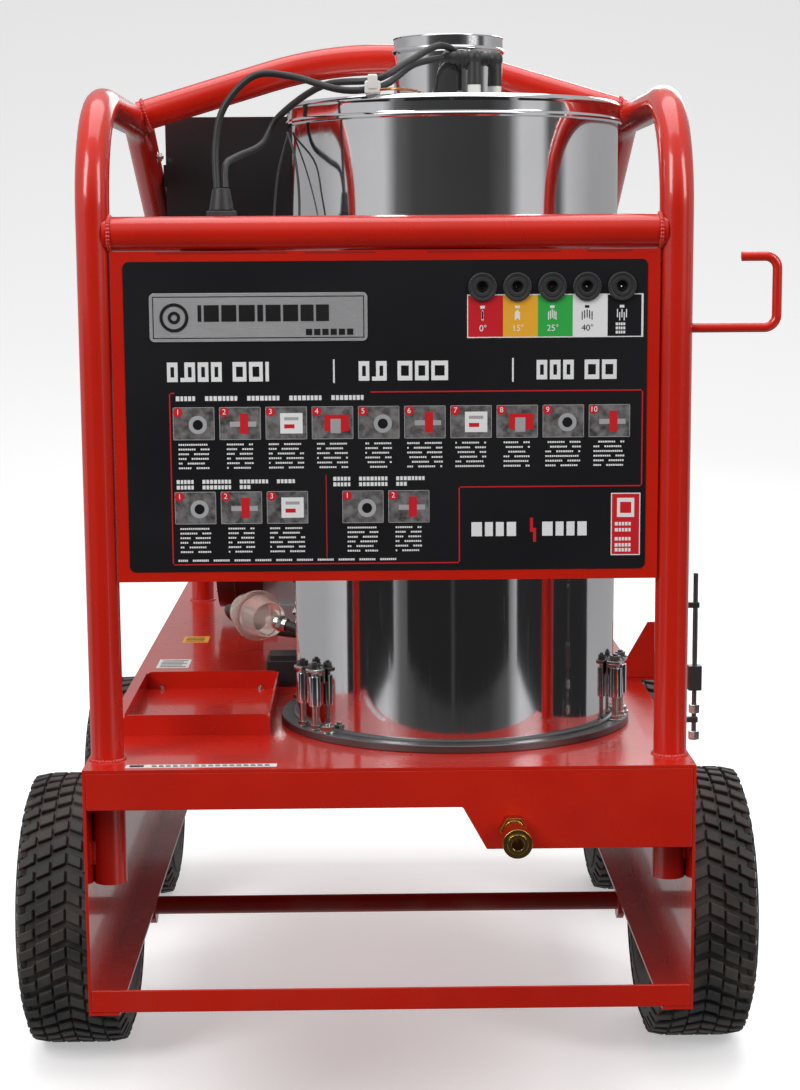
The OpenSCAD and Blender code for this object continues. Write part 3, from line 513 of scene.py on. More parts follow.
def makeFloor():
    half, front, rear = floorShape["half"], floorShape["front"], floorShape["back"]
    bm = bmesh.new()
    bm.faces.new([bm.verts.new(Vector(at)) for at in ((-half, front, 0), (half, front, 0), (half, rear, 0),
                                                      (-half, rear, 0))])
    back = [edge for edge in bm.edges if all(vert.co.y > rear - 1 for vert in edge.verts)]
    raiseEdges(bm, back, floorShape["rise"])
    softenEdges(bm, back, floorShape["curve"], 16)
    mesh = bpy.data.meshes.new("floor")
    bm.to_mesh(mesh)
    bm.free()
    for face in mesh.polygons:
        face.use_smooth = True
    material = bpy.data.materials.new("paleFloor")
    material.use_nodes = True
    shader = material.node_tree.nodes["Principled BSDF"]
    shader.inputs["Base Color"].default_value = rgba([floorShape["tone"]] * 3)
    shader.inputs["Roughness"].default_value = 0.6
    shader.inputs["Emission Color"].default_value = (1, 1, 1, 1)
    shader.inputs["Emission Strength"].default_value = floorShape["glow"]
    mesh.materials.append(material)
    floor = linkObject("floor", mesh)
    floor.visible_diffuse = False  # its glow stays off the machine
    floor.visible_glossy = False


flags = {"height": 0.85, "gap": 0.01, "feet": {
    "frontFlag": ((-1.7, -2.95), (-0.12, -2.95)), "frontFlagRight": ((-0.02, -2.95), (1.9, -2.95)),
    "leftFlag": ((-2.1, -2.6), (-2.1, -0.7)), "rightFlag": ((2.1, -2.7), (2.1, 0.1))}}


def makeFlags():
    # low black cards in front and at the sides, seen only in reflections
    material = bpy.data.materials.new("flagCloth")
    material.use_nodes = True
    shader = material.node_tree.nodes["Principled BSDF"]
    shader.inputs["Base Color"].default_value = (0.012, 0.012, 0.013, 1)
    shader.inputs["Roughness"].default_value = 0.9
    for name, feet in flags["feet"].items():
        bm = bmesh.new()
        raiseEdges(bm, [bm.edges.new([bm.verts.new((x, y, flags["gap"])) for x, y in feet])], flags["height"])
        mesh = bpy.data.meshes.new(name)
        bm.to_mesh(mesh)
        bm.free()
        mesh.materials.append(material)
        flag = linkObject(name, mesh)
        flag.visible_camera = False
        flag.visible_diffuse = False
        flag.visible_shadow = False


def makeLight(name, at, target, size, power):
    light = bpy.data.lights.new(name, "AREA")
    light.shape = "RECTANGLE"
    light.size, light.size_y = size
    light.energy = power
    holder = linkObject(name, light)
    holder.location = at
    holder.rotation_euler = (Vector(target) - Vector(at)).to_track_quat("-Z", "Y").to_euler()


# brightness by heading: 0 and 1 straight back, a half straight forward, so the steel reflects a dark middle
studio = {"strength": 0.55, "backdrop": 1.75, "overhead": (1.05, 1.05, 1.06, 1),
          "stops": [(0.0, 0.7), (0.20, 0.8), (0.27, 1.15), (0.36, 1.25), (0.385, 0.25), (0.42, 0.12),
                    (0.49, 0.10), (0.56, 0.09), (0.60, 0.22), (0.625, 1.25), (0.67, 1.2), (0.685, 0.2),
                    (0.71, 0.2), (0.73, 1.15), (0.80, 0.8), (1.0, 0.7)]}
lamps = {"keyLight": ((-2.2, -2.7, 2.9), (0, -0.5, 0.95), (1.2, 2.2), 72),
         "fillLight": ((2.5, -2.4, 2.5), (0, -0.5, 0.95), (1.0, 2.0), 44),
         "topLight": ((0, 0.1, 4.0), (0, 0, 0.5), (3.0, 3.0), 66),
         "rearLight": ((1.2, 4.2, 2.8), (0, 0.2, 0.6), (2.4, 2.0), 45)}


def makeWorld():
    # a bright studio with a darker end behind the camera, which the polished steel reflects
    world = bpy.data.worlds.new("studio")
    bpy.context.scene.world = world
    world.use_nodes = True
    tree = world.node_tree
    background = tree.nodes["Background"]
    direction = tree.nodes.new("ShaderNodeTexCoord").outputs["Generated"]
    parts = addNode(tree, "ShaderNodeSeparateXYZ", {0: direction})
    forward = mathAt(tree, "MULTIPLY", parts.outputs["Y"], -1.0)
    heading = mathAt(tree, "ARCTAN2", parts.outputs["X"], forward)
    share = remapAt(tree, heading, -math.pi, math.pi, 0.0, 1.0)
    ramp = tree.nodes.new("ShaderNodeValToRGB")
    ramp.color_ramp.elements.remove(ramp.color_ramp.elements[0])
    for i, (where, level) in enumerate(studio["stops"]):
        element = ramp.color_ramp.elements[0] if i == 0 else ramp.color_ramp.elements.new(where)
        element.position = where
        element.color = (level, level, level, 1)
    tree.links.new(share, ramp.inputs[0])
    up = remapAt(tree, parts.outputs["Z"], 0.25, 0.75, 0.0, 1.0)
    sky = mixAt(tree, up, ramp.outputs["Color"], studio["overhead"])
    seen = addNode(tree, "ShaderNodeLightPath").outputs["Is Camera Ray"]
    tree.links.new(mixAt(tree, seen, sky, rgba([studio["backdrop"]] * 3)), background.inputs["Color"])
    background.inputs["Strength"].default_value = studio["strength"]


bpy.context.scene.view_settings.view_transform = "Standard"
makeCamera()
makeFloor()
makeWorld()
makeFlags()
for name, lamp in lamps.items():
    makeLight(name, *lamp)
print("stage ready")


tubeFrame = {"railLevel": 400, "legBack": 1068, "legCorner": 745, "bend": 110, "toeIn": 18, "archRise": 82,
             "archBack": 382, "wall": 2.6, "weld": 2.6, "beads": 30}
sideLow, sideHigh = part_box("side_tube_left")
railZ = sideHigh.z - pipeRadius - 0.2 * mm
toeAngle = math.atan(tubeFrame["toeIn"] / tubeFrame["legBack"])
footZ = sideLow.z


def sideTubePath(side):
    length = tubeFrame["legBack"] * mm
    slant = length / math.cos(toeAngle)
    corners = [(0, footZ), (0, railZ), (tubeFrame["railLevel"] * mm, railZ),
               (slant, tubeFrame["legCorner"] * mm), (slant, deckTop)]
    placed = [Vector((side * (postX - along * math.sin(toeAngle)), postY + along * math.cos(toeAngle),
                      height)) for along, height in corners]
    return roundedPath(placed, tubeFrame["bend"] * mm, 12)


def addBead(bm, at, radius):
    made = bmesh.ops.create_uvsphere(bm, u_segments=8, v_segments=5, radius=radius)["verts"]
    bmesh.ops.translate(bm, vec=at, verts=made)


def weldRing(bm, center, axis, radius, bead):
    # a ripple of small overlapping beads round a joint
    axis = Vector(axis).normalized()
    across = axis.orthogonal().normalized()
    for i in range(tubeFrame["beads"]):
        out = Matrix.Rotation(math.tau * i / tubeFrame["beads"], 4, axis) @ across
        addBead(bm, Vector(center) + out * radius, bead)


def buildTubeFrame():
    inner = pipeRadius - tubeFrame["wall"] * mm
    for side, node in ((-1, "side_tube_left"), (1, "side_tube_right")):
        makeTube(pieceName(node), sideTubePath(side), pipeRadius, redPaint, replaces=(node,),
                 sides=12, bore=inner)
    archY = frontY + tubeFrame["archBack"] * mm
    archX = postX - (archY - postY) * math.tan(toeAngle) - pipeRadius * 0.6
    peak = railZ + tubeFrame["archRise"] * mm
    drop = tubeFrame["archRise"] * mm * pipeRadius * 0.6 / postX
    path = roundedPath([(-archX, archY, railZ + drop), (0, archY, peak), (archX, archY, railZ + drop)],
                       4 * tubeFrame["bend"] * mm, 16)
    makeTube("archTube", path, pipeRadius, redPaint, replaces=("arch_tube",), sides=12)
    crossZ = (crossLow.z + crossHigh.z) / 2
    reach = postX - pipeRadius * 0.6
    makeTube("topCrossTube", [Vector((-reach, postY, crossZ)), Vector((reach, postY, crossZ))], pipeRadius,
             redPaint, replaces=("top_cross_tube",), sides=12)
    bead = tubeFrame["weld"] * mm
    bm = bmesh.new()
    for side in (-1, 1):
        edge = side * (postX - pipeRadius * 0.96)
        weldRing(bm, (edge, postY, crossZ), (1, 0, 0), pipeRadius, bead)
        weldRing(bm, (side * (archX - pipeRadius * 0.42), archY, railZ + 4.6 * mm), (side, 0, -0.3),
                 pipeRadius, bead)
        weldRing(bm, (side * postX, postY, deckTop), (0, 0, 1), pipeRadius, bead)
        legX = side * (postX - tubeFrame["toeIn"] * mm)
        weldRing(bm, (legX, postY + tubeFrame["legBack"] * mm, deckTop), (0, 0, 1), pipeRadius, bead)
        for level in (deckTop - 45 * mm, deckTop - 105 * mm):
            for step in range(9):
                at = (side * (postX + pipeRadius * 0.9), postY - pipeRadius * 0.45, level + step * 2.4 * mm)
                addBead(bm, at, bead * 1.2)
    finishPiece("frameWelds", bm, redPaint, smoothAngle=60)


buildTubeFrame()
polishNode("hose_hook", redPaint, smoothAngle=60, angle=40)
for plateNode in ("deck_chassis", "front_skirt", "cross_bars", "battery_tray", "axle_brackets"):
    polishNode(plateNode, redPaint, width=0.0012, segments=3)
polishNode("front_panel", redPaint, width=0.0006)
print("chassis and tubes ready")


tread = {"pitches": 46, "depth": 5.5, "rows": (-46, -27, -9, 9, 27, 46), "blockWide": 15.5, "blockLong": 13.5,
         "slant": 24}


def buildTyre(node, body):
    low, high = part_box(node)
    center = (low + high) / 2
    radius = (high.z - low.z) / 2
    half = (high.x - low.x) / 2
    base = radius - tread["depth"] * mm
    bead = radius - 89 * mm
    outline = [(bead, half - 13 * mm), (bead + 6 * mm, half - 6 * mm), (bead + 16 * mm, half - 2 * mm),
               (bead + 34 * mm, half), (bead + 52 * mm, half - 1.5 * mm), (base - 13 * mm, half - 5 * mm),
               (base - 5 * mm, half - 10 * mm), (base - 1 * mm, half - 18 * mm), (base, half - 34 * mm)]
    mirrored = [(r, -x) for r, x in reversed(outline)]
    bm = bmesh.new()
    addLathe(bm, outline + mirrored, center, (1, 0, 0), 96, closed=True)
    for height in (0.30, 0.36, 0.62):
        ringRadius = bead + (radius - bead) * height
        for side in (-1, 1):
            ringX = side * (half - (1.2 if height < 0.5 else 0.9) * mm)
            ring = [(ringRadius - 1.2 * mm, -0.8 * mm), (ringRadius - 0.8 * mm, 0.9 * mm),
                    (ringRadius + 0.8 * mm, 0.9 * mm), (ringRadius + 1.2 * mm, -0.8 * mm)]
            addLathe(bm, [(r, side * x) for r, x in ring], center + Vector((ringX, 0, 0)), (1, 0, 0), 96,
                     closed=True)
    blocks = bmesh.new()
    pitch = math.tau / tread["pitches"]
    for i, row in enumerate(tread["rows"]):
        outer = abs(row) > 40
        lean = math.radians(tread["slant"] if row < 0 else -tread["slant"])
        wide = tread["blockWide"] * mm * (1.15 if outer else 1.0) / 2
        long = tread["blockLong"] * mm * (0.86 if outer else 1.0) / 2
        turn = Matrix.Rotation(pitch * (0.5 if i in (1, 4) else 0.0), 4, "X")
        top = Matrix.Translation((row * mm, 0, radius - (2.2 if outer else 0.2) * mm - 4 * mm))
        roll = Matrix.Rotation(math.radians(11) * (1 if row > 0 else -1) if outer else 0.0, 4, "Y")
        shear = Matrix.Identity(4)
        shear[1][0] = math.tan(lean)
        made = addMoved(blocks, turn @ top @ roll @ shear, addBlock, (-wide, -long, -4.5 * mm),
                        (wide, long, 4 * mm))
        topEdges = [edge for edge in blocks.edges if all(vert in made for vert in edge.verts)
                    and all(vert.co.z > radius - 7.5 * mm for vert in edge.verts)]
        softenEdges(blocks, topEdges, 1.0 * mm, 1)
    for side in (-1, 1):
        shoulder = Matrix.Translation((side * (half - 8.6 * mm), 0, radius - 14 * mm))
        tilt = Matrix.Rotation(side * math.radians(-tread["slant"]), 4, "Y")
        lug = Matrix.Rotation(pitch / 2, 4, "X") @ shoulder @ tilt
        addMoved(blocks, lug, addBlock, (-3 * mm, -5.4 * mm, -9 * mm), (3 * mm, 5.4 * mm, 9 * mm))
    bmesh.ops.spin(blocks, geom=blocks.verts[:] + blocks.edges[:] + blocks.faces[:], cent=(0, 0, 0),
                   axis=(1, 0, 0), angle=math.tau * (1 - 1 / tread["pitches"]), steps=tread["pitches"] - 1,
                   use_duplicate=True)
    bmesh.ops.translate(blocks, vec=center, verts=blocks.verts)
    holder = bpy.data.meshes.new("blocks")
    blocks.to_mesh(holder)
    blocks.free()
    bm.from_mesh(holder)
    bpy.data.meshes.remove(holder)
    finishPiece(pieceName(node), bm, tyreRubber, body, (node,), smoothAngle=38)


for corner in ("front_left", "front_right", "rear_left", "rear_right"):
    buildTyre("tyre_" + corner, "wheel_" + corner)
    polishNode("rim_" + corner, rimEnamel, width=0.001)
for shaft in ("front_axle", "rear_axle"):
    polishNode(shaft, darkRedPaint, width=0.001)
print("wheels ready")


bodyLow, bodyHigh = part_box("boiler_body")
lidLow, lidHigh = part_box("boiler_lid")
stackLow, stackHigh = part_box("chimney")
boilerAt = Vector(((bodyLow.x + bodyHigh.x) / 2, (bodyLow.y + bodyHigh.y) / 2, 0))
shellRadius = (bodyHigh.x - bodyLow.x) / 2


boiler = {"wall": 1.5, "shellSteps": 160, "stackSteps": 112, "flangeSteps": 128}


def buildBoiler():
    low, high = bodyLow.z, bodyHigh.z
    r = shellRadius
    t = boiler["wall"] * mm
    bm = bmesh.new()
    skin = [(r - t, low), (r - 0.3 * mm, low), (r, low + 0.4 * mm), (r, low + 4 * mm), (r, high - 4 * mm),
            (r, high), (r - t, high)]
    addLathe(bm, skin, boilerAt, steps=boiler["shellSteps"], closed=True)
    finishPiece("boilerBody", bm, stainless, replaces=("boiler_body",), smoothAngle=30)
    top = lidHigh.z
    base = lidLow.z
    edge = (lidHigh.x - lidLow.x) / 2
    cap = r + 2.2 * mm
    bm = bmesh.new()
    rim = [(r + 0.3 * mm, base), (edge - 1.4 * mm, base), (edge, base + 1.4 * mm), (edge, base + 3.4 * mm),
           (edge - 1.4 * mm, base + 5 * mm), (cap, base + 6.2 * mm), (cap, top - 8 * mm),
           (cap + 0.8 * mm, top - 6.5 * mm), (cap + 0.8 * mm, top - 4.5 * mm),
           (cap - 0.5 * mm, top - 2.5 * mm), (cap - 3.2 * mm, top - 0.6 * mm),
           (cap - 8 * mm, top - 0.2 * mm), (r * 0.75, top - 0.05 * mm), (r * 0.2, top), (r * 0.2, top - t),
           (cap - 8 * mm, top - 1.6 * mm), (cap - 3 * mm, top - 4 * mm), (r + 0.3 * mm, top - 6 * mm)]
    addLathe(bm, rim, boilerAt, steps=boiler["shellSteps"], closed=True)
    addRod(bm, boilerAt + Vector((0, 0, top - 1.4 * mm)), boilerAt + Vector((0, 0, top - 0.1 * mm)), r * 0.21)
    finishPiece("boilerLid", bm, stainless, replaces=("boiler_lid",), smoothAngle=30)
    r = (stackHigh.x - stackLow.x) / 2 - 2 * mm
    center = Vector(((stackLow.x + stackHigh.x) / 2, (stackLow.y + stackHigh.y) / 2, 0))
    low, high = stackLow.z, stackHigh.z
    bead = high - 14 * mm
    bm = bmesh.new()
    wall = [(r - t, low), (r + 5 * mm, low), (r + 5 * mm, low + 1.2 * mm), (r + 0.6 * mm, low + 2 * mm),
            (r, low + 4 * mm), (r, bead - 3 * mm), (r + 1.6 * mm, bead - 1.6 * mm), (r + 2.1 * mm, bead),
            (r + 1.6 * mm, bead + 1.6 * mm), (r, bead + 3 * mm), (r, high - 1.5 * mm),
            (r + 0.9 * mm, high - 0.6 * mm), (r, high), (r - t, high)]
    addLathe(bm, wall, center, steps=boiler["stackSteps"], closed=True)
    finishPiece("chimney", bm, stainless, replaces=("chimney",), smoothAngle=32)
    bm = bmesh.new()
    flangeLow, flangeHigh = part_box("boiler_flange")
    edge = (flangeHigh.x - flangeLow.x) / 2
    plate = [(0.0, flangeLow.z), (edge - 0.8 * mm, flangeLow.z), (edge, flangeLow.z + 0.8 * mm),
             (edge, flangeLow.z + 7.2 * mm), (edge - 0.8 * mm, flangeLow.z + 8 * mm),
             (0.0, flangeLow.z + 8 * mm)]
    addLathe(bm, plate, boilerAt, steps=boiler["flangeSteps"])
    ring = [(shellRadius + 0.2 * mm, flangeLow.z + 7 * mm), (shellRadius + 4 * mm, flangeLow.z + 7 * mm),
            (shellRadius + 3.6 * mm, flangeLow.z + 9.6 * mm), (shellRadius + 1.8 * mm, flangeLow.z + 11 * mm),
            (shellRadius + 0.2 * mm, flangeLow.z + 11.4 * mm)]
    addLathe(bm, ring, boilerAt, steps=boiler["flangeSteps"], closed=True)
    finishPiece("boilerFlange", bm, hotSteel, replaces=("boiler_flange",), smoothAngle=35)


buildBoiler()
polishNode("heating_coil", coilSteel, width=0.0002)

clamps = {"angles": (210, 342, 30, 150), "height": 66, "spread": 13, "out": 8.5}


def buildClamps():
    base = deckTop + 8 * mm
    bm = bmesh.new()
    chrome = bmesh.new()
    dark = bmesh.new()
    for angle in clamps["angles"]:
        spin = Matrix.Translation((boilerAt.x, boilerAt.y, base)) @ Matrix.Rotation(math.radians(angle), 4,
                                                                                    "Z")
        before = [set(made.verts) for made in (bm, chrome, dark)]
        reach = shellRadius + clamps["out"] * mm
        for side in (-1, 1):
            y = side * clamps["spread"] * mm
            h = clamps["height"] * mm
            addRod(bm, (reach, y, 0), (reach, y, h - 4 * mm), 3.6 * mm, soft=0.4 * mm)
            addRod(chrome, (reach, y, 25 * mm), (reach, y, h - 9 * mm), 6.8 * mm, sides=28, soft=0.8 * mm)
            addBlock(bm, (reach - 7 * mm, y - 8.5 * mm, h - 5.5 * mm),
                     (reach + 6.5 * mm, y + 8.5 * mm, h - 1 * mm), 1.2 * mm)
            addBlock(bm, (reach - 8.2 * mm, y - 8.5 * mm, h - 16 * mm),
                     (reach - 6.4 * mm, y + 8.5 * mm, h - 1 * mm), 0.5 * mm)
            addHexBolt(dark, (reach, y, h - 1.4 * mm), (0, 0, 1), 6.5 * mm)
            addHexBolt(bm, (reach, y, 0), (0, 0, 1), 6.0 * mm)
        turn = Matrix.Rotation(math.radians(11), 4, "Z")
        addHexBolt(bm, turn @ Vector((reach, 0, 0)), (0, 0, 1), 8 * mm)
        for known, mesh in zip(before, (bm, chrome, dark)):
            bmesh.ops.transform(mesh, matrix=spin, verts=[vert for vert in mesh.verts if vert not in known])
    finishPiece("boilerClamps", bm, zincPlate, replaces=("boiler_clamps",))
    for name, mesh, finish, slot in (("clampSleeves", chrome, stainless, "stainless"),
                                     ("clampCaps", dark, hotSteel, "steel_plate")):
        finishPiece(name, mesh, finish, replaces=("boiler_clamps",))


buildClamps()
print("boiler ready")


leads = {"one": [(62, 160, 1149), (30, 135, 1140), (0, 110, 1118), (-40, 100, 1113), (-90, 110, 1127),
                 (-128, 112, 1128), (-158, 112, 1098), (-167, 110, 1060), (-166, 104, 1019)],
         "two": [(84, 182, 1149), (58, 150, 1160), (24, 118, 1141), (-8, 101, 1123), (-60, 132, 1120),
                 (-106, 184, 1094), (-124, 182, 1066), (-148, 150, 1052), (-158, 118, 1042),
                 (-158, 107, 1019)], "earth": [(-4, 98, 1113), (10, 100, 1114), (26, 116, 1114),
                                               (38, 142, 1113), (46, 172, 1111)],
         "spark": [(-40, 806, 742), (-52, 790, 740), (-70, 786, 724), (-96, 800, 690), (-120, 830, 668),
                   (-160, 856, 660)], "sensorOne": [(-98, 215, 1079), (-108, 190, 1040), (-112, 170, 1000),
                                                    (-113, 160, 962)], "sensorTwo": [(-99, 215, 1079),
                                                                                     (-90, 165, 1050),
                                                                                     (-86, 150, 1010),
                                                                                     (-87, 140, 962)]}

bracket = {"in": 273.5, "out": 323.5, "front": 450, "back": 510, "rod": (316.5, 110), "rodTop": 629}


def buildSideBracket():
    low, high = deckTop / mm, deckTop / mm + 4
    red = bmesh.new()
    addBlock(red, place(bracket["in"], bracket["front"], low), place(bracket["out"], bracket["back"], high),
             0.4 * mm)
    outline = [(bracket["in"], high - 1), (bracket["out"], high - 1), (bracket["out"], high + 66),
               (bracket["out"] - 12, high + 66)]
    front = [red.verts.new(place(x, bracket["front"], z)) for x, z in outline]
    back = [red.verts.new(place(x, bracket["front"] + 4, z)) for x, z in outline]
    red.faces.new(front)
    red.faces.new(list(reversed(back)))
    for i in range(len(outline)):
        k = (i + 1) % len(outline)
        red.faces.new((front[k], front[i], back[i], back[k]))
    finishPiece("sideGusset", red, redPaint, replaces=("side_bracket",))
    zinc = bmesh.new()
    for x, y in ((285.5, 470), (309.5, 490)):
        addHexBolt(zinc, place(x, y, high), (0, 0, 1), 6 * mm)
    for z in (455, 483):
        addRod(zinc, place(*bracket["rod"], z), place(*bracket["rod"], z + 9), 6 * mm, sides=6, soft=0.6 * mm)
    finishPiece("sideBracketNuts", zinc, zincPlate, replaces=("side_bracket",))
    dark = bmesh.new()
    x, y = bracket["rod"]
    addRod(dark, place(x, y, 457), place(x, y, bracket["rodTop"]), 2.5 * mm, soft=0.5 * mm)
    addBlock(dark, place(x - 7, y - 6, 507), place(x + 7, y + 6, 533), 1 * mm)
    for z in (473, 593):
        addBlock(dark, place(x - 20, y - 3, z), place(x + 4, y + 3, z + 6), 0.8 * mm)
    for k in range(26):
        addRod(dark, place(x, y, 540 + 1.9 * k), place(x, y, 541 + 1.9 * k), 2.8 * mm, sides=16)
    finishPiece("sideRod", dark, hotSteel, replaces=("side_bracket",))


buildSideBracket()


def buildLeads():
    for name, key in (("ignitionLeadOne", "one"), ("ignitionLeadTwo", "two")):
        makeTube(name, smoothPath([place(*p) for p in leads[key]]), 3.5 * mm, blackRubber,
                 replaces=("ignition_cables",))
    makeTube("earthWire", smoothPath([place(*p) for p in leads["earth"]]), 1.5 * mm, copperMetal,
             replaces=("ground_wire",))
    top = lidHigh.z
    black = bmesh.new()
    white = bmesh.new()
    for x, y in ((92, 160), (114, 182)):
        at = place(x, y, 0)
        at.z = top
        addRod(white, at - rise(50), at + rise(16), 4 * mm)
        addRod(white, at, at + rise(5), 9 * mm, soft=1 * mm)
        addRod(white, at + rise(5), at + rise(14), 6.6 * mm, soft=1.2 * mm)
        addRod(black, at + rise(13), at + rise(36), 7.4 * mm, 6.6 * mm, soft=1 * mm)
        elbow = at + rise(40)
        made = bmesh.ops.create_uvsphere(black, u_segments=24, v_segments=16, radius=8.2 * mm)["verts"]
        bmesh.ops.translate(black, vec=elbow, verts=made)
        addRod(black, elbow, elbow + shift(-24), 6.9 * mm, 6.0 * mm, soft=0.8 * mm)
        addRod(black, elbow + shift(-22), elbow + shift(-33), 5.2 * mm, 4.4 * mm, soft=0.6 * mm)
        for step in range(3):
            ring = elbow + Vector(((-6 - 5 * step) * mm, 0, 0))
            addRod(black, ring, ring + shift(-2), 7.4 * mm, sides=32, soft=0.4 * mm)
    finishPiece("electrodePosts", white, porcelain, replaces=("electrodes",))
    finishPiece("electrodeBoots", black, blackRubber)
    white = bmesh.new()
    clip = place(-11, 103, 0)
    clip.z = top
    addBlock(white, clip + Vector((-8, -7, 0)) * mm, clip + Vector((8, 7, 13)) * mm, 2.2 * mm, 3)
    addBlock(white, clip + Vector((-5, -8.2, 4)) * mm, clip + Vector((5, 8.2, 19)) * mm, 2.0 * mm, 3)
    finishPiece("cableClip", white, porcelain)
    gland = place(-162, 105, 955)
    bm = bmesh.new()
    addRod(bm, gland, gland + rise(16), 12 * mm)
    addRod(bm, gland + rise(14), gland + rise(18), 16.5 * mm, soft=1 * mm)
    addRod(bm, gland + rise(17), gland + rise(42), 17 * mm, sides=6, soft=1.6 * mm)
    addRod(bm, gland + rise(42), gland + rise(64), 12.5 * mm, 8.6 * mm, soft=1.5 * mm)
    finishPiece("cableGland", bm, blackPlastic, replaces=("cable_fittings",))
    for name, key in (("sensorLeadOne", "sensorOne"), ("sensorLeadTwo", "sensorTwo")):
        makeTube(name, smoothPath([place(*p) for p in leads[key]]), 1.3 * mm, blackRubber,
                 sides=3)


buildLeads()
print("leads ready")


sheetLow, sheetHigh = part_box("panel_decal")
ink = {}


def inkLayer(material):
    if material.name not in ink:
        ink[material.name] = (bmesh.new(), material)
    return ink[material.name][0]


def printBlock(material, across, down, wide, tall, lift=0.10, soft=0.0):
    # a printed patch, placed in millimetres across and down from the decal's top left corner
    x = sheetLow.x + across * mm
    z = sheetHigh.z - down * mm
    front = sheetLow.y - lift * mm
    addBlock(inkLayer(material), (x, front, z - tall * mm), (x + wide * mm, sheetLow.y + 0.05 * mm, z), soft)


def printWords(material, across, down, length, tall, letter, lift=0.10, seed=3):
    # a row of small blocks of uneven width in place of words
    at = across
    count = seed
    while at < across + length - letter:
        count = (count * 7 + 5) % 11
        wide = letter * (0.75 + 0.06 * (count % 5))
        if count not in (2, 9):
            printBlock(material, at, down, min(wide, across + length - at), tall, lift)
        at += wide + letter * 0.28


def printOutline(material, points, wide):
    for (ax, ay), (bx, by) in zip(points, points[1:]):
        printBlock(material, min(ax, bx) - wide / 2, min(ay, by) - wide / 2, abs(bx - ax) + wide,
                   abs(by - ay) + wide)


def printDisc(material, across, down, radius, lift=0.2):
    at = Vector((sheetLow.x + across * mm, sheetLow.y - lift * mm, sheetHigh.z - down * mm))
    addRod(inkLayer(material), at, at + Vector((0, (lift + 0.05) * mm, 0)), radius * mm, sides=24)


def printNumber(text, across, down, size, material=whiteInk, lift=0.26):
    curve = bpy.data.curves.new("number" + text, "FONT")
    curve.body = text
    curve.size = size * mm
    curve.align_x = "CENTER"
    curve.align_y = "CENTER"
    curve.extrude = 0.04 * mm
    mesh = meshFromCurve(curve)
    mesh.transform(Matrix.Translation((sheetLow.x + across * mm, sheetLow.y - lift * mm,
                                       sheetHigh.z - down * mm)) @ Matrix.Rotation(math.radians(90), 4, "X"))
    inkLayer(material).from_mesh(mesh)
    bpy.data.meshes.remove(mesh)


panelPrint = {"tileWide": 40, "tileTall": 31.5, "rowOne": 141, "rowTwo": 224, "start": 46, "pitch": 45.3}


def printStep(number, across, down):
    wide, tall = panelPrint["tileWide"], panelPrint["tileTall"]
    printBlock(photoInk, across, down, wide, tall, 0.06)
    printOutline(greyInk, [(across, down), (across + wide, down), (across + wide, down + tall),
                           (across, down + tall), (across, down)], 0.5)
    kind = number % 4
    if kind == 0:
        printBlock(redInk, across + 12, down + 8, 24, 16, 0.12)
        printBlock(greyInk, across + 18, down + 12, 10, 14, 0.16)
    elif kind == 1:
        printDisc(greyInk, across + 24, down + 17, 9, 0.12)
        printDisc(decalFilm, across + 24, down + 17, 5, 0.16)
    elif kind == 2:
        printBlock(greyInk, across + 10, down + 14, 26, 5, 0.12)
        printBlock(redInk, across + 20, down + 6, 8, 20, 0.16)
    else:
        printBlock(whiteInk, across + 14, down + 6, 22, 20, 0.1)
        printBlock(greyInk, across + 18, down + 10, 14, 3, 0.14)
        printBlock(redInk, across + 18, down + 17, 10, 4, 0.14)
    printDisc(redInk, across + 4.6, down + 4.6, 4.6)
    printNumber(str(number), across + 4.6, down + 4.6, 7.5)
    for line in range(6):
        length = 35 - 7 * ((line * 3 + number) % 3) * 0.6
        printWords(whiteInk, across + (wide - length) / 2, down + tall + 4 + line * 4.6, length, 1.7, 1.9,
                   seed=number + line)


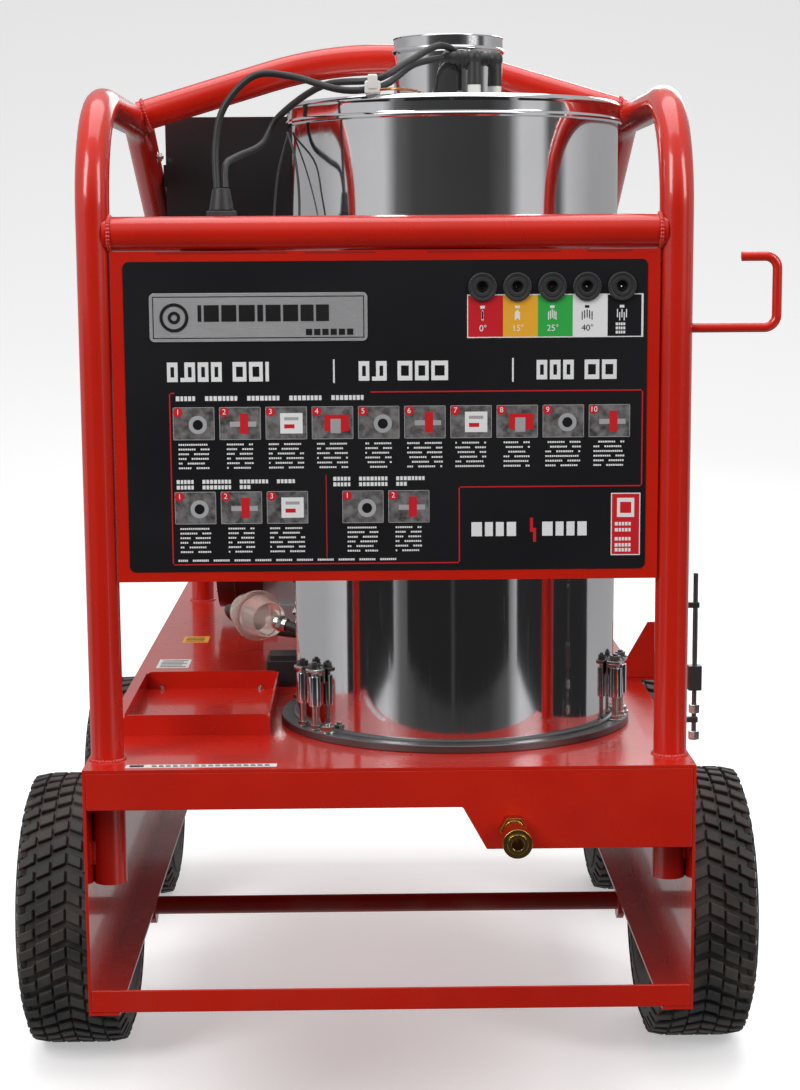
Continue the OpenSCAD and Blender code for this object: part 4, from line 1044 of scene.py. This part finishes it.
def buildPanel():
    start, pitch = panelPrint["start"], panelPrint["pitch"]
    for i in range(10):
        printStep(i + 1, start + i * pitch, panelPrint["rowOne"])
    for i in range(3):
        printStep(i + 1, start + i * pitch, panelPrint["rowTwo"])
    for i in range(2):
        printStep(i + 1, start + 165 + i * pitch, panelPrint["rowTwo"])
    printWords(whiteInk, 49, 130, 186, 4.6, 3.6)
    printWords(whiteInk, 48, 212, 118, 3.8, 3.2)
    printWords(whiteInk, 48, 217.5, 76, 3.8, 3.2)
    printWords(whiteInk, 202, 210, 92, 3.8, 3.2)
    printWords(whiteInk, 202, 215.5, 76, 3.8, 3.2)
    printWords(whiteInk, 48, 291, 220, 2.0, 1.8)
    printOutline(redInk, [(240, 127), (506, 127), (506, 221), (326, 221), (326, 296), (43, 296), (43, 127),
                          (47, 127)], 1.2)
    printOutline(redInk, [(195, 208), (195, 290)], 0.8)
    for across, words in ((41, (13, 4, 13, 13, 13, 0, 16, 16, 6)), (228, (13, 4, 13, 0, 17, 16, 19)),
                          (402, (13, 13, 13, 0, 17, 17))):
        at = across
        for wide in words:
            if wide == 4:
                printBlock(whiteInk, at, 112, 4, 4, soft=0.0)
            elif wide:
                printBlock(whiteInk, at, 97, wide - 2.6, 19)
                if wide > 5:
                    printBlock(decalFilm, at + 3.4, 101.5, max(wide - 9.4, 1.5), 10, 0.14)
            at += wide if wide else 8
    printBlock(whiteInk, 203, 95, 1.6, 23)
    printBlock(whiteInk, 378, 95, 1.6, 23)
    printWords(whiteInk, 338, 256, 56, 14, 10.5)
    printWords(whiteInk, 408, 256, 48, 14, 10.5)
    printBlock(redInk, 396, 252, 3, 14)
    printBlock(redInk, 399, 262, 3, 14)
    printBlock(whiteInk, 476, 228, 29, 62, 0.10)
    printBlock(redInk, 477, 229, 27, 60, 0.14)
    printBlock(whiteInk, 482, 233, 17, 19, 0.2)
    printBlock(redInk, 485, 237, 11, 11, 0.24)
    for down in (257, 263, 272, 278, 283):
        printWords(whiteInk, 480, down, 21, 3.4, 3.0, 0.2)
    left, down = 80 - sheetLow.x / mm, sheetHigh.z / mm - 917
    printBlock(whiteInk, left - 1, down + 3, 172, 42, 0.06)
    for i, color in enumerate((redInk, yellowInk, greenInk, whiteInk, decalFilm)):
        mark = decalFilm if i == 3 else whiteInk
        printBlock(color, left + 34 * i, down + 4, 34 if i < 4 else 33, 40, 0.12)
        middle = left + 34 * i + 14
        for k in range(5):
            spread = (k - 2) * (0.25, 1.0, 1.8, 2.4, 2.2)[i]
            printBlock(mark, middle + spread - 0.5, down + 18 + (abs(k - 2) if i != 4 else (k % 2) * 3),
                       1.0, 8, 0.18)
        printBlock(mark, middle - 2.2, down + 14, 4.4, 2.6, 0.18)
        if i < 4:
            printNumber(("0", "15", "25", "40")[i] + "°", middle + 0.6, down + 36, 8.5, mark, 0.2)
        else:
            for k in range(3):
                printWords(mark, middle - 6, down + 31 + 4 * k, 12, 2.6, 2.2, 0.18)
    for name, (bm, material) in ink.items():
        finishPiece("print" + name[0].upper() + name[1:], bm, material, recalc=False)


buildPanel()
polishNode("panel_decal", decalFilm, width=0.0001)


plate = {"edge": 3.2, "line": 0.9, "raised": 0.5, "letters": (6, 17, 17, 18, 8, 17, 17, 15, 15), "marks": 6}


def buildNameplate():
    low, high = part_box("nameplate")
    face = low.y
    polishNode("nameplate", brushedPlate, width=0.0003)
    dark = bmesh.new()
    edge = plate["edge"] * mm
    line = plate["line"] * mm
    left, right, foot, top = low.x + edge, high.x - edge, low.z + edge, high.z - edge
    for ax, az, bx, bz in ((left, top - line, right, top), (left, foot, right, foot + line),
                           (left, foot, left + line, top), (right - line, foot, right, top)):
        addBlock(dark, (ax, face - 0.12 * mm, az), (bx, face + 0.1 * mm, bz))
    middle = (low.z + high.z) / 2
    emblem = Vector((low.x + 24 * mm, face - 0.5 * mm, middle))
    for radius in (14, 6):
        outline = [(radius * mm, 0), (radius * mm, 0.6 * mm), ((radius - 3) * mm, 0.6 * mm),
                   ((radius - 3) * mm, 0)]
        addLathe(dark, outline, emblem, (0, 1, 0), 40, closed=True)
    at = low.x + 47 * mm
    for wide in plate["letters"]:
        addBlock(dark, (at, face - plate["raised"] * mm, middle - 4 * mm),
                 (at + (wide - 2.4) * mm, face + 0.1 * mm, middle + 12 * mm), 0.4 * mm)
        at += wide * mm
    for step in range(plate["marks"]):
        start = high.x - 60 * mm + step * 8 * mm
        addBlock(dark, (start, face - 0.3 * mm, low.z + 6 * mm),
                 (start + 6 * mm, face + 0.1 * mm, low.z + 12 * mm))
    finishPiece("nameplateRelief", dark, blackEnamel)


buildNameplate()


grommet = {"count": 5, "pitch": 34, "beads": 24, "beadSize": 0.8}


def buildGrommets():
    low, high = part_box("nozzle_grommets")
    z = (low.z + high.z) / 2
    radius = (high.z - low.z) / 2
    bm = bmesh.new()
    for i in range(grommet["count"]):
        x = low.x + radius + grommet["pitch"] * mm * i
        face = low.y
        outline = [(5.5 * mm, face + 11 * mm), (5.5 * mm, face + 1.2 * mm), (6.6 * mm, face),
                   (9.2 * mm, face), (10 * mm, face + 0.9 * mm), (11 * mm, face + 0.3 * mm),
                   (radius - 1 * mm, face + 0.3 * mm), (radius, face + 1.2 * mm), (radius, face + 3.9 * mm),
                   (10 * mm, face + 4 * mm), (10 * mm, face + 7 * mm), (radius - 0.5 * mm, face + 7 * mm),
                   (radius - 1.5 * mm, face + 11 * mm)]
        addLathe(bm, outline, Vector((x, 0, z)), (0, 1, 0), 48, closed=True)
        membrane = [(5.8 * mm, face + 8 * mm), (1.2 * mm, face + 8.6 * mm), (0.6 * mm, face + 9.4 * mm),
                    (0.6 * mm, face + 10 * mm), (5.8 * mm, face + 10 * mm)]
        addLathe(bm, membrane, Vector((x, 0, z)), (0, 1, 0), 32, closed=True)
        for k in range(grommet["beads"]):
            angle = math.tau * k / grommet["beads"]
            at = Vector((x + math.cos(angle) * (radius - 1.1 * mm), face + 0.6 * mm,
                         z + math.sin(angle) * (radius - 1.1 * mm)))
            addBead(bm, at, grommet["beadSize"] * mm)
    finishPiece("nozzleGrommets", bm, blackRubber, replaces=("nozzle_grommets",),
                smoothAngle=40)


buildGrommets()
print("front panel ready")


plain = {"transformer_box": (blackPlastic, "black_plastic", 1.2),
         "deck_module": (blackPlastic, "black_plastic", 0.8), "fuel_tank": (blackPlastic, "black_plastic",
                                                                            2.0),
         "fuel_cap": (redPlastic, "red_plastic", 1.2), "burner_housing": (blackEnamel, "black_enamel", 1.0),
         "blower_wheel": (zincPlate, "zinc", 0.2), "engine_block": (castMetal, "cast_aluminium", 1.4),
         "engine_shroud": (blackEnamel, "black_enamel", 3.0), "crankshaft": (zincPlate, "zinc", 0.6),
         "recoil_handle": (blackPlastic, "black_plastic", 1.6),
         "engine_tank": (blackEnamel, "black_enamel", 5.0), "engine_tank_cap": (zincPlate, "zinc", 1.0),
         "muffler": (zincPlate, "zinc", 2.0), "air_filter": (blackPlastic, "black_plastic", 2.5),
         "throttle_lever": (zincPlate, "zinc", 0.5), "pump_body": (castMetal, "cast_aluminium", 1.6),
         "unloader_knob": (redPlastic, "red_plastic", 1.0), "control_box": (blackEnamel, "black_enamel",
                                                                            1.5),
         "thermostat_knob": (blackPlastic, "black_plastic", 1.2),
         "rocker_switch": (redPlastic, "red_plastic", 0.5), "coupler_body": (brassMetal, "brass", 0.5),
         "coupler_collar": (brassMetal, "brass", 0.6), "drain_fitting": (brassMetal, "brass", 0.6),
         "fuel_filter": (clearPlastic, "clear_plastic", 1.0)}
for node, (material, slotName, soft) in plain.items():
    polishNode(node, material, width=soft * mm)


def buildHoses():
    routes = {
        "hoseFilterToBurner": (6, [(-132, 490, 521), (-112, 482, 516), (-90, 477, 506), (-64, 480, 499)]),
        "hoseTankToFilter": (6, [(-179, 590, 521), (-196, 632, 514), (-186, 682, 492), (-140, 706, 474),
                                 (-60, 706, 466), (10, 676, 468), (62, 641, 491)]),
        "hosePumpToBoiler": (8.5, [(240, 894, 560), (243, 850, 553), (254, 780, 520), (257, 700, 488),
                                   (257, 560, 474), (256, 470, 478), (232, 408, 490), (196.6, 372.6, 493)]),
        "hoseBoilerToCoupler": (8.5, [(122, 28, 392), (122, 80, 389), (112, 140, 376), (96, 200, 372),
                                      (84, 240, 394), (82, 250, 426), (82, 250, 450)])}
    for name, (radius, points) in routes.items():
        makeTube(name, smoothPath([place(*p) for p in points], 10), radius * mm, blackRubber,
                 replaces=("hoses",), sides=8)
    bm = bmesh.new()
    for at, toward, radius in (((-132, 490, 521), (-112, 482, 516), 8.2),
                               ((-179, 590, 521), (-196, 632, 514), 8.2),
                               ((240, 894, 560), (243, 850, 553), 12),
                               ((196.6, 372.6, 493), (232, 408, 490), 12),
                               ((62, 641, 491), (10, 676, 468), 8.2),
                               ((-64, 480, 499), (-90, 477, 506), 8.2)):
        start = place(*at)
        along = (place(*toward) - start).normalized()
        addRod(bm, start, start + along * 16 * mm, radius * mm, soft=0.8 * mm)
        addRod(bm, start + along * 5 * mm, start + along * 11 * mm, (radius + 1.6) * mm, sides=6,
               soft=0.6 * mm)
    finishPiece("hoseFerrules", bm, zincPlate)


buildHoses()


def boltGrid(bm, places, axis, size):
    for at in places:
        addHexBolt(bm, at, axis, size * mm)


def ringOf(center, radius, count, axis="X", start=0.0):
    turn = {"X": lambda a: Vector((0, math.cos(a), math.sin(a))),
            "Y": lambda a: Vector((math.cos(a), 0, math.sin(a))),
            "Z": lambda a: Vector((math.cos(a), math.sin(a), 0))}[axis]
    return [Vector(center) + turn(start + math.tau * i / count) * radius for i in range(count)]


engine = {"vanes": 28, "vaneRing": 62, "shroudBolts": 6, "tankCorner": 30, "finPitch": 12}


def dressEngine():
    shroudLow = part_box("engine_shroud")[0]
    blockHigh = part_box("engine_block")[1]
    crank = middleOf("crankshaft")
    hub = Vector((shroudLow.x, crank.y, crank.z + 30 * mm))
    dark = bmesh.new()
    for i, at in enumerate(ringOf(hub, engine["vaneRing"] * mm, engine["vanes"])):
        facing = Matrix.Rotation(math.tau * i / engine["vanes"] - math.pi / 2, 4, "X")
        addMoved(dark, Matrix.Translation(at) @ facing, addBlock, (-1.2 * mm, -1.6 * mm, -24 * mm),
                 (1.4 * mm, 1.6 * mm, 24 * mm), 0.6 * mm, 1)
    outline = inMm((34, 0), (34, 3), (30, 4), (8, 5), (0, 5))
    addLathe(dark, outline, hub, (-1, 0, 0), 48)
    for radius in (90, 38):
        rim = [((radius - 2) * mm, -0.5 * mm), ((radius - 1) * mm, 1.4 * mm), ((radius + 1) * mm, 1.4 * mm),
               ((radius + 2) * mm, -0.5 * mm)]
        addLathe(dark, rim, hub, (-1, 0, 0), 72, closed=True)
    rim = inMm((133, -1), (133, 2.4), (136.5, 2.4), (137.2, 1), (136.5, -1))
    addLathe(dark, rim, hub + shift(40), (-1, 0, 0), 96, closed=True)
    finishPiece("recoilGrille", dark, blackPlastic)
    bolts = bmesh.new()
    boltGrid(bolts, ringOf(hub + shift(14), 112 * mm, engine["shroudBolts"], start=0.5), (-1, 0, 0), 6)
    boltGrid(bolts, ringOf(Vector((blockHigh.x, crank.y, crank.z)), 54 * mm, 6), (1, 0, 0), 5)
    for y in (crank.y - 85 * mm, crank.y + 85 * mm):
        for x in (-115, -60, 20):
            addHexBolt(bolts, (x * mm, y + (2 if y < crank.y else -2) * mm, deckTop + 30 * mm), (0, 0, 1),
                       6 * mm)
    plug = Vector((-40 * mm, crank.y - 118 * mm, crank.z + 158 * mm))
    addRod(bolts, plug, plug + Vector((0, -14, 10)) * mm, 9 * mm, sides=6, soft=0.8 * mm)
    addRod(bolts, plug + Vector((0, -14, 10)) * mm, plug + Vector((0, -26, 18)) * mm, 5 * mm, soft=0.6 * mm)
    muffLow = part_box("muffler")[0]
    for step in range(7):
        z = muffLow.z + (14 + step * engine["finPitch"]) * mm
        for side in range(9):
            x = muffLow.x + (15 + side * 15) * mm
            if (Vector((x - (muffLow.x + 75 * mm), z - (muffLow.z + 50 * mm)))).length > 24 * mm:
                addRod(bolts, (x, muffLow.y + 19.6 * mm, z), (x, muffLow.y + 17.8 * mm, z), 3.6 * mm,
                       2.8 * mm, sides=12)
    finishPiece("engineBolts", bolts, zincPlate)
    tankLow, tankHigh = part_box("engine_tank")
    seam = bmesh.new()
    addBlock(seam, (tankLow.x - 0.0015, tankLow.y - 0.0015, tankHigh.z - 52 * mm),
             (tankHigh.x + 0.0015, tankHigh.y + 0.0015, tankHigh.z - 48.5 * mm))
    upright = [edge for edge in seam.edges if abs(edge.verts[0].co.z - edge.verts[1].co.z) > 1 * mm]
    softenEdges(seam, upright, engine["tankCorner"] * mm, 10)
    for x in (0.3, 0.7):
        middle = tankLow.x + (tankHigh.x - tankLow.x) * x
        addBlock(seam, (middle - 9 * mm, tankLow.y - 1.2 * mm, tankLow.z + 6 * mm),
                 (middle + 9 * mm, tankLow.y + 2 * mm, tankHigh.z - 22 * mm), 1 * mm)
    finishPiece("engineTankSeam", seam, blackEnamel)
    filterLow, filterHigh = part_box("air_filter")
    cover = bmesh.new()
    for z in (0.25, 0.5, 0.75):
        level = filterLow.z + (filterHigh.z - filterLow.z) * z
        addBlock(cover, (filterLow.x + 16 * mm, filterHigh.y - 1 * mm, level - 3 * mm),
                 (filterHigh.x - 16 * mm, filterHigh.y + 1.8 * mm, level + 3 * mm), 1.2 * mm)
    knob = Vector(((filterLow.x + filterHigh.x) / 2, filterHigh.y - 35 * mm, filterHigh.z))
    addRod(cover, knob, knob + rise(6), 9 * mm, soft=1 * mm)
    addBlock(cover, knob + Vector((-17, -3, 5)) * mm, knob + Vector((17, 3, 15)) * mm, 2.4 * mm, 3)
    finishPiece("airFilterCover", cover, blackPlastic)
    makeTube("sparkLead", smoothPath([place(*p) for p in leads["spark"]]), 3.5 * mm, blackRubber)


pump = {"ribs": 7, "ribPitch": 12, "capRows": (-24, 24), "capPlaces": (-40, 0, 40)}


def dressPump():
    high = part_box("pump_body")[1]
    crank = middleOf("crankshaft")
    bm = bmesh.new()
    for y in pump["capPlaces"]:
        for z in pump["capRows"]:
            at = Vector((high.x, crank.y + y * mm, crank.z + z * mm))
            addRod(bm, at, at + shift(5), 11 * mm, sides=6, soft=1 * mm)
            addRod(bm, at - shift(12), at - shift(9), 15 * mm, soft=0.8 * mm)
    glass = Vector((150 * mm, crank.y + 60 * mm, crank.z))
    addRod(bm, glass, glass + push(6), 14 * mm, sides=6, soft=1 * mm)
    addRod(bm, glass + push(5), glass + push(8), 9 * mm, soft=0.6 * mm)
    port = Vector((240 * mm, crank.y - 66 * mm, 560 * mm))
    addRod(bm, port + push(4), port - push(6), 14 * mm, sides=6, soft=1 * mm)
    finishPiece("pumpCaps", bm, brassMetal)
    bm = bmesh.new()
    for step in range(pump["ribs"]):
        x = (122 + step * pump["ribPitch"]) * mm
        addBlock(bm, (x, crank.y - 64 * mm, crank.z - 50 * mm),
                 (x + 3 * mm, crank.y + 64 * mm, crank.z + 67 * mm), 1 * mm)
    for y in (-52, 52):
        for z in (-40, 40):
            at = Vector((high.x - 12 * mm, crank.y + y * mm, crank.z + z * mm))
            addHexBolt(bm, at, (1, 0, 0), 7 * mm)
    for y in (-60, 60):
        addHexBolt(bm, (160 * mm, crank.y + y * mm, deckTop), (0, 0, 1), 7 * mm)
    cap = Vector((150 * mm, crank.y + 30 * mm, crank.z + 64 * mm))
    addRod(bm, cap, cap + rise(14), 11 * mm, soft=1.4 * mm)
    finishPiece("pumpRibs", bm, castMetal)


def dressTanks():
    low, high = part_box("fuel_tank")
    bm = bmesh.new()
    top = high.z - 22 * mm
    for level in (0.3, 0.62):
        z = low.z + (top - low.z) * level
        for y in (low.y, high.y):
            addBlock(bm, (low.x + 30 * mm, y - 1.6 * mm, z - 5 * mm),
                     (high.x - 30 * mm, y + 1.6 * mm, z + 5 * mm), 1.5 * mm, 3)
        for x in (low.x, high.x):
            addBlock(bm, (x - 1.6 * mm, low.y + 30 * mm, z - 5 * mm),
                     (x + 1.6 * mm, high.y - 30 * mm, z + 5 * mm), 1.5 * mm, 3)
    for x in (0.28, 0.72):
        strap = low.x + (high.x - low.x) * x
        addBlock(bm, (strap - 11 * mm, low.y - 2.2 * mm, low.z),
                 (strap + 11 * mm, low.y + 0.5 * mm, top - 8 * mm), 0.6 * mm)
        addBlock(bm, (strap - 11 * mm, high.y - 0.5 * mm, low.z),
                 (strap + 11 * mm, high.y + 2.2 * mm, top - 8 * mm), 0.6 * mm)
    finishPiece("fuelTankRibs", bm, blackPlastic)
    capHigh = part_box("fuel_cap")[1]
    center = middleOf("fuel_cap")
    bm = bmesh.new()
    for at in ringOf((center.x, center.y, capHigh.z - 7 * mm), 31 * mm, 28, "Z"):
        addRod(bm, at - rise(6), at + rise(5.6), 1.5 * mm, sides=8)
    addBlock(bm, (center.x - 22 * mm, center.y - 5 * mm, capHigh.z - 1 * mm),
             (center.x + 22 * mm, center.y + 5 * mm, capHigh.z + 6 * mm), 2 * mm, 3)
    finishPiece("fuelCapRibs", bm, redPlastic, body="diesel_cap")


def dressBurner():
    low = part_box("burner_housing")[0]
    middle = middleOf("blower_wheel")
    left = -63 * mm
    bolts = bmesh.new()
    boltGrid(bolts, ringOf((left, middle.y, middle.z), 74 * mm, 8, start=0.2), (-1, 0, 0), 4.5)
    boltGrid(bolts, ringOf((27 * mm, middle.y, middle.z), 74 * mm, 8, start=0.2), (1, 0, 0), 4.5)
    boltGrid(bolts, ringOf((low.x, middle.y, middle.z), 28 * mm, 4, start=0.7), (-1, 0, 0), 4)
    finishPiece("burnerBolts", bolts, zincPlate)
    bm = bmesh.new()
    for i in range(20):
        if math.sin(math.tau * i / 20) > -0.75:  # the foot stays clear
            at = ringOf((0, middle.y, middle.z), 38 * mm, 20)[i]
            addRod(bm, Vector((low.x + 6 * mm, at.y, at.z)), Vector((left - 2 * mm, at.y, at.z)), 2 * mm,
                   sides=8)
    for x in (left + 1 * mm, 26 * mm):
        rim = inMm((80, -2.5), (84.5, -2.5), (85.2, 0), (84.5, 2.5), (80, 2.5))
        addLathe(bm, rim, Vector((x, middle.y, middle.z)), (1, 0, 0), 72, closed=True)
    finishPiece("burnerRims", bm, blackEnamel)


controls = {"drop": 132, "run": 175, "edge": (600, 1117), "dial": (-120, 660), "ticks": 11, "ribs": 18}


def dressControls():
    slope = math.atan(controls["drop"] / controls["run"])
    facing = Matrix.Rotation(-slope, 4, "X")

    def onFace(x, y):
        return place(x, y, controls["edge"][1] - (y - controls["edge"][0]) * math.tan(slope))

    white = bmesh.new()
    dial = onFace(*controls["dial"])
    for i in range(controls["ticks"]):
        angle = math.radians(225 - 27 * i)
        addMoved(white, Matrix.Translation(dial) @ facing @ Matrix.Rotation(angle, 4, "Z"), addBlock,
                 (24 * mm, -0.7 * mm, -0.2 * mm), ((31 if i % 5 == 0 else 28) * mm, 0.7 * mm, 0.3 * mm))
    for x, y, wide in ((-120, 705, 60), (60, 705, 44), (60, 628, 30), (170, 705, 50)):
        for k in range(int(wide / 8)):
            addMoved(white, Matrix.Translation(onFace(x, y)) @ facing, addBlock,
                     ((k * 8 - wide / 2) * mm, -2 * mm, -0.2 * mm),
                     ((k * 8 - wide / 2 + 6) * mm, 2 * mm, 0.25 * mm))
    finishPiece("controlMarks", white, whiteInk)
    trim = bmesh.new()
    before = set(trim.verts)
    rim = inMm((15, -0.5), (15, 4), (18.5, 4.5), (21, 3), (22, -0.5))
    addLathe(trim, rim, (0, 0, 0), steps=48, closed=True)
    made = [vert for vert in trim.verts if vert not in before]
    bmesh.ops.transform(trim, matrix=Matrix.Translation(onFace(170, 660)) @ facing, verts=made)
    for x in (-235, 235):
        for y in (618, 760):
            addMoved(trim, Matrix.Translation(onFace(x, y)) @ facing, addRod, (0, 0, -0.5 * mm),
                     (0, 0, 2.4 * mm), 5 * mm, 3.8 * mm, soft=0.5 * mm)
    for left, front, right, back in ((-17, -20, -12.4, 20), (12.4, -20, 17, 20), (-17, 16, 17, 20),
                                     (-17, -20, 17, -16)):
        addMoved(trim, Matrix.Translation(onFace(60, 660)) @ facing, addBlock,
                 (left * mm, front * mm, -0.5 * mm), (right * mm, back * mm, 1.6 * mm), 0.5 * mm)
    finishPiece("controlTrim", trim, zincPlate)
    knob = bmesh.new()
    center = Matrix.Translation(dial) @ facing
    for i in range(controls["ribs"]):
        addMoved(knob, center @ Matrix.Rotation(math.tau * i / controls["ribs"], 4, "Z"), addRod,
                 (20 * mm, 0, 2 * mm), (19.4 * mm, 0, 16.5 * mm), 1.6 * mm, sides=8)
    addMoved(knob, center, addBlock, (-1.2 * mm, 4 * mm, 17.4 * mm), (1.2 * mm, 18 * mm, 19 * mm), 0.3 * mm)
    finishPiece("thermostatRibs", knob, blackPlastic, body="thermostat")


def dressWheels():
    for corner in ("front_left", "front_right", "rear_left", "rear_right"):
        center = middleOf("rim_" + corner)
        side = -1 if center.x < 0 else 1
        disc = center.x + side * 13 * mm
        bm = bmesh.new()
        boltGrid(bm, ringOf((disc, center.y, center.z), 42 * mm, 4, start=0.785), (side, 0, 0), 7)
        valve = Vector((disc, center.y + 60 * mm, center.z))
        addRod(bm, valve, valve + Vector((side * 24 * mm, 4 * mm, 0)), 3.4 * mm, 2.6 * mm, soft=0.5 * mm)
        rim = inMm((15.5, -20), (21, -20), (20, 16), (17.5, 18), (15.5, 18))
        addLathe(bm, rim, Vector((disc, center.y, center.z)), (side, 0, 0), 48, closed=True)
        finishPiece(pieceName("wheelBolts_" + corner), bm, zincPlate, body="wheel_" + corner)


def dressDeck():
    paper = bmesh.new()
    marks = bmesh.new()
    amber = bmesh.new()

    def label(bm, across, back, wide, deep, lift=0.25):
        addBlock(bm, place(across, back, deckTop / mm - 0.1), place(across + wide, back + deep,
                                                                    deckTop / mm + lift))

    label(paper, -262, 10, 150, 13)
    for k in range(17):
        label(marks, -236 + k * 7, 13, 5.2, 3, 0.4)
        label(marks, -236 + k * 7, 18, 4.0, 2, 0.4)
    label(marks, -258, 12, 14, 9, 0.4)
    label(paper, -283, 560, 40, 58)
    for k in range(5):
        label(marks, -279, 566 + k * 10, 32 - 5 * (k % 2), 4, 0.4)
    label(amber, -266, 744, 34, 48)
    for k in range(3):
        label(marks, -262, 752 + k * 12, 24, 5, 0.4)
    finishPiece("deckLabels", paper, whiteInk)
    finishPiece("deckLabelMarks", marks, decalFilm)
    finishPiece("deckLabelAmber", amber, yellowInk)
    steel = bmesh.new()
    for side in (-1, 1):
        tab = Vector((side * (postX - 8 * mm - pipeRadius), frontY + 482 * mm, 1068 * mm))
        addHexBolt(steel, tab, (-side, 0, 0), 6 * mm)
    for x, y in ((-262, 176), (-262, 408), (-146, 176), (-146, 408)):
        addHexBolt(steel, place(x, y, deckTop / mm + 2), (0, 0, 1), 4 * mm)
    finishPiece("frameScrews", steel, zincPlate)
    # dark red strips along the panel's top edge, painted shade in place of the gaps there
    gapShade = bmesh.new()
    top = panelHigh.z
    for start, end in ((-222, -96), (-78, -10), (40, 170), (196, 240)):
        addBlock(gapShade, (start * mm, panelLow.y - 0.3 * mm, top - 2.6 * mm),
                 (end * mm, panelLow.y + 1 * mm, top - 0.8 * mm))
    finishPiece("panelGaps", gapShade, darkRedPaint)


dressEngine()
dressPump()
dressTanks()
dressBurner()
dressControls()
dressWheels()
dressDeck()
print("works ready")
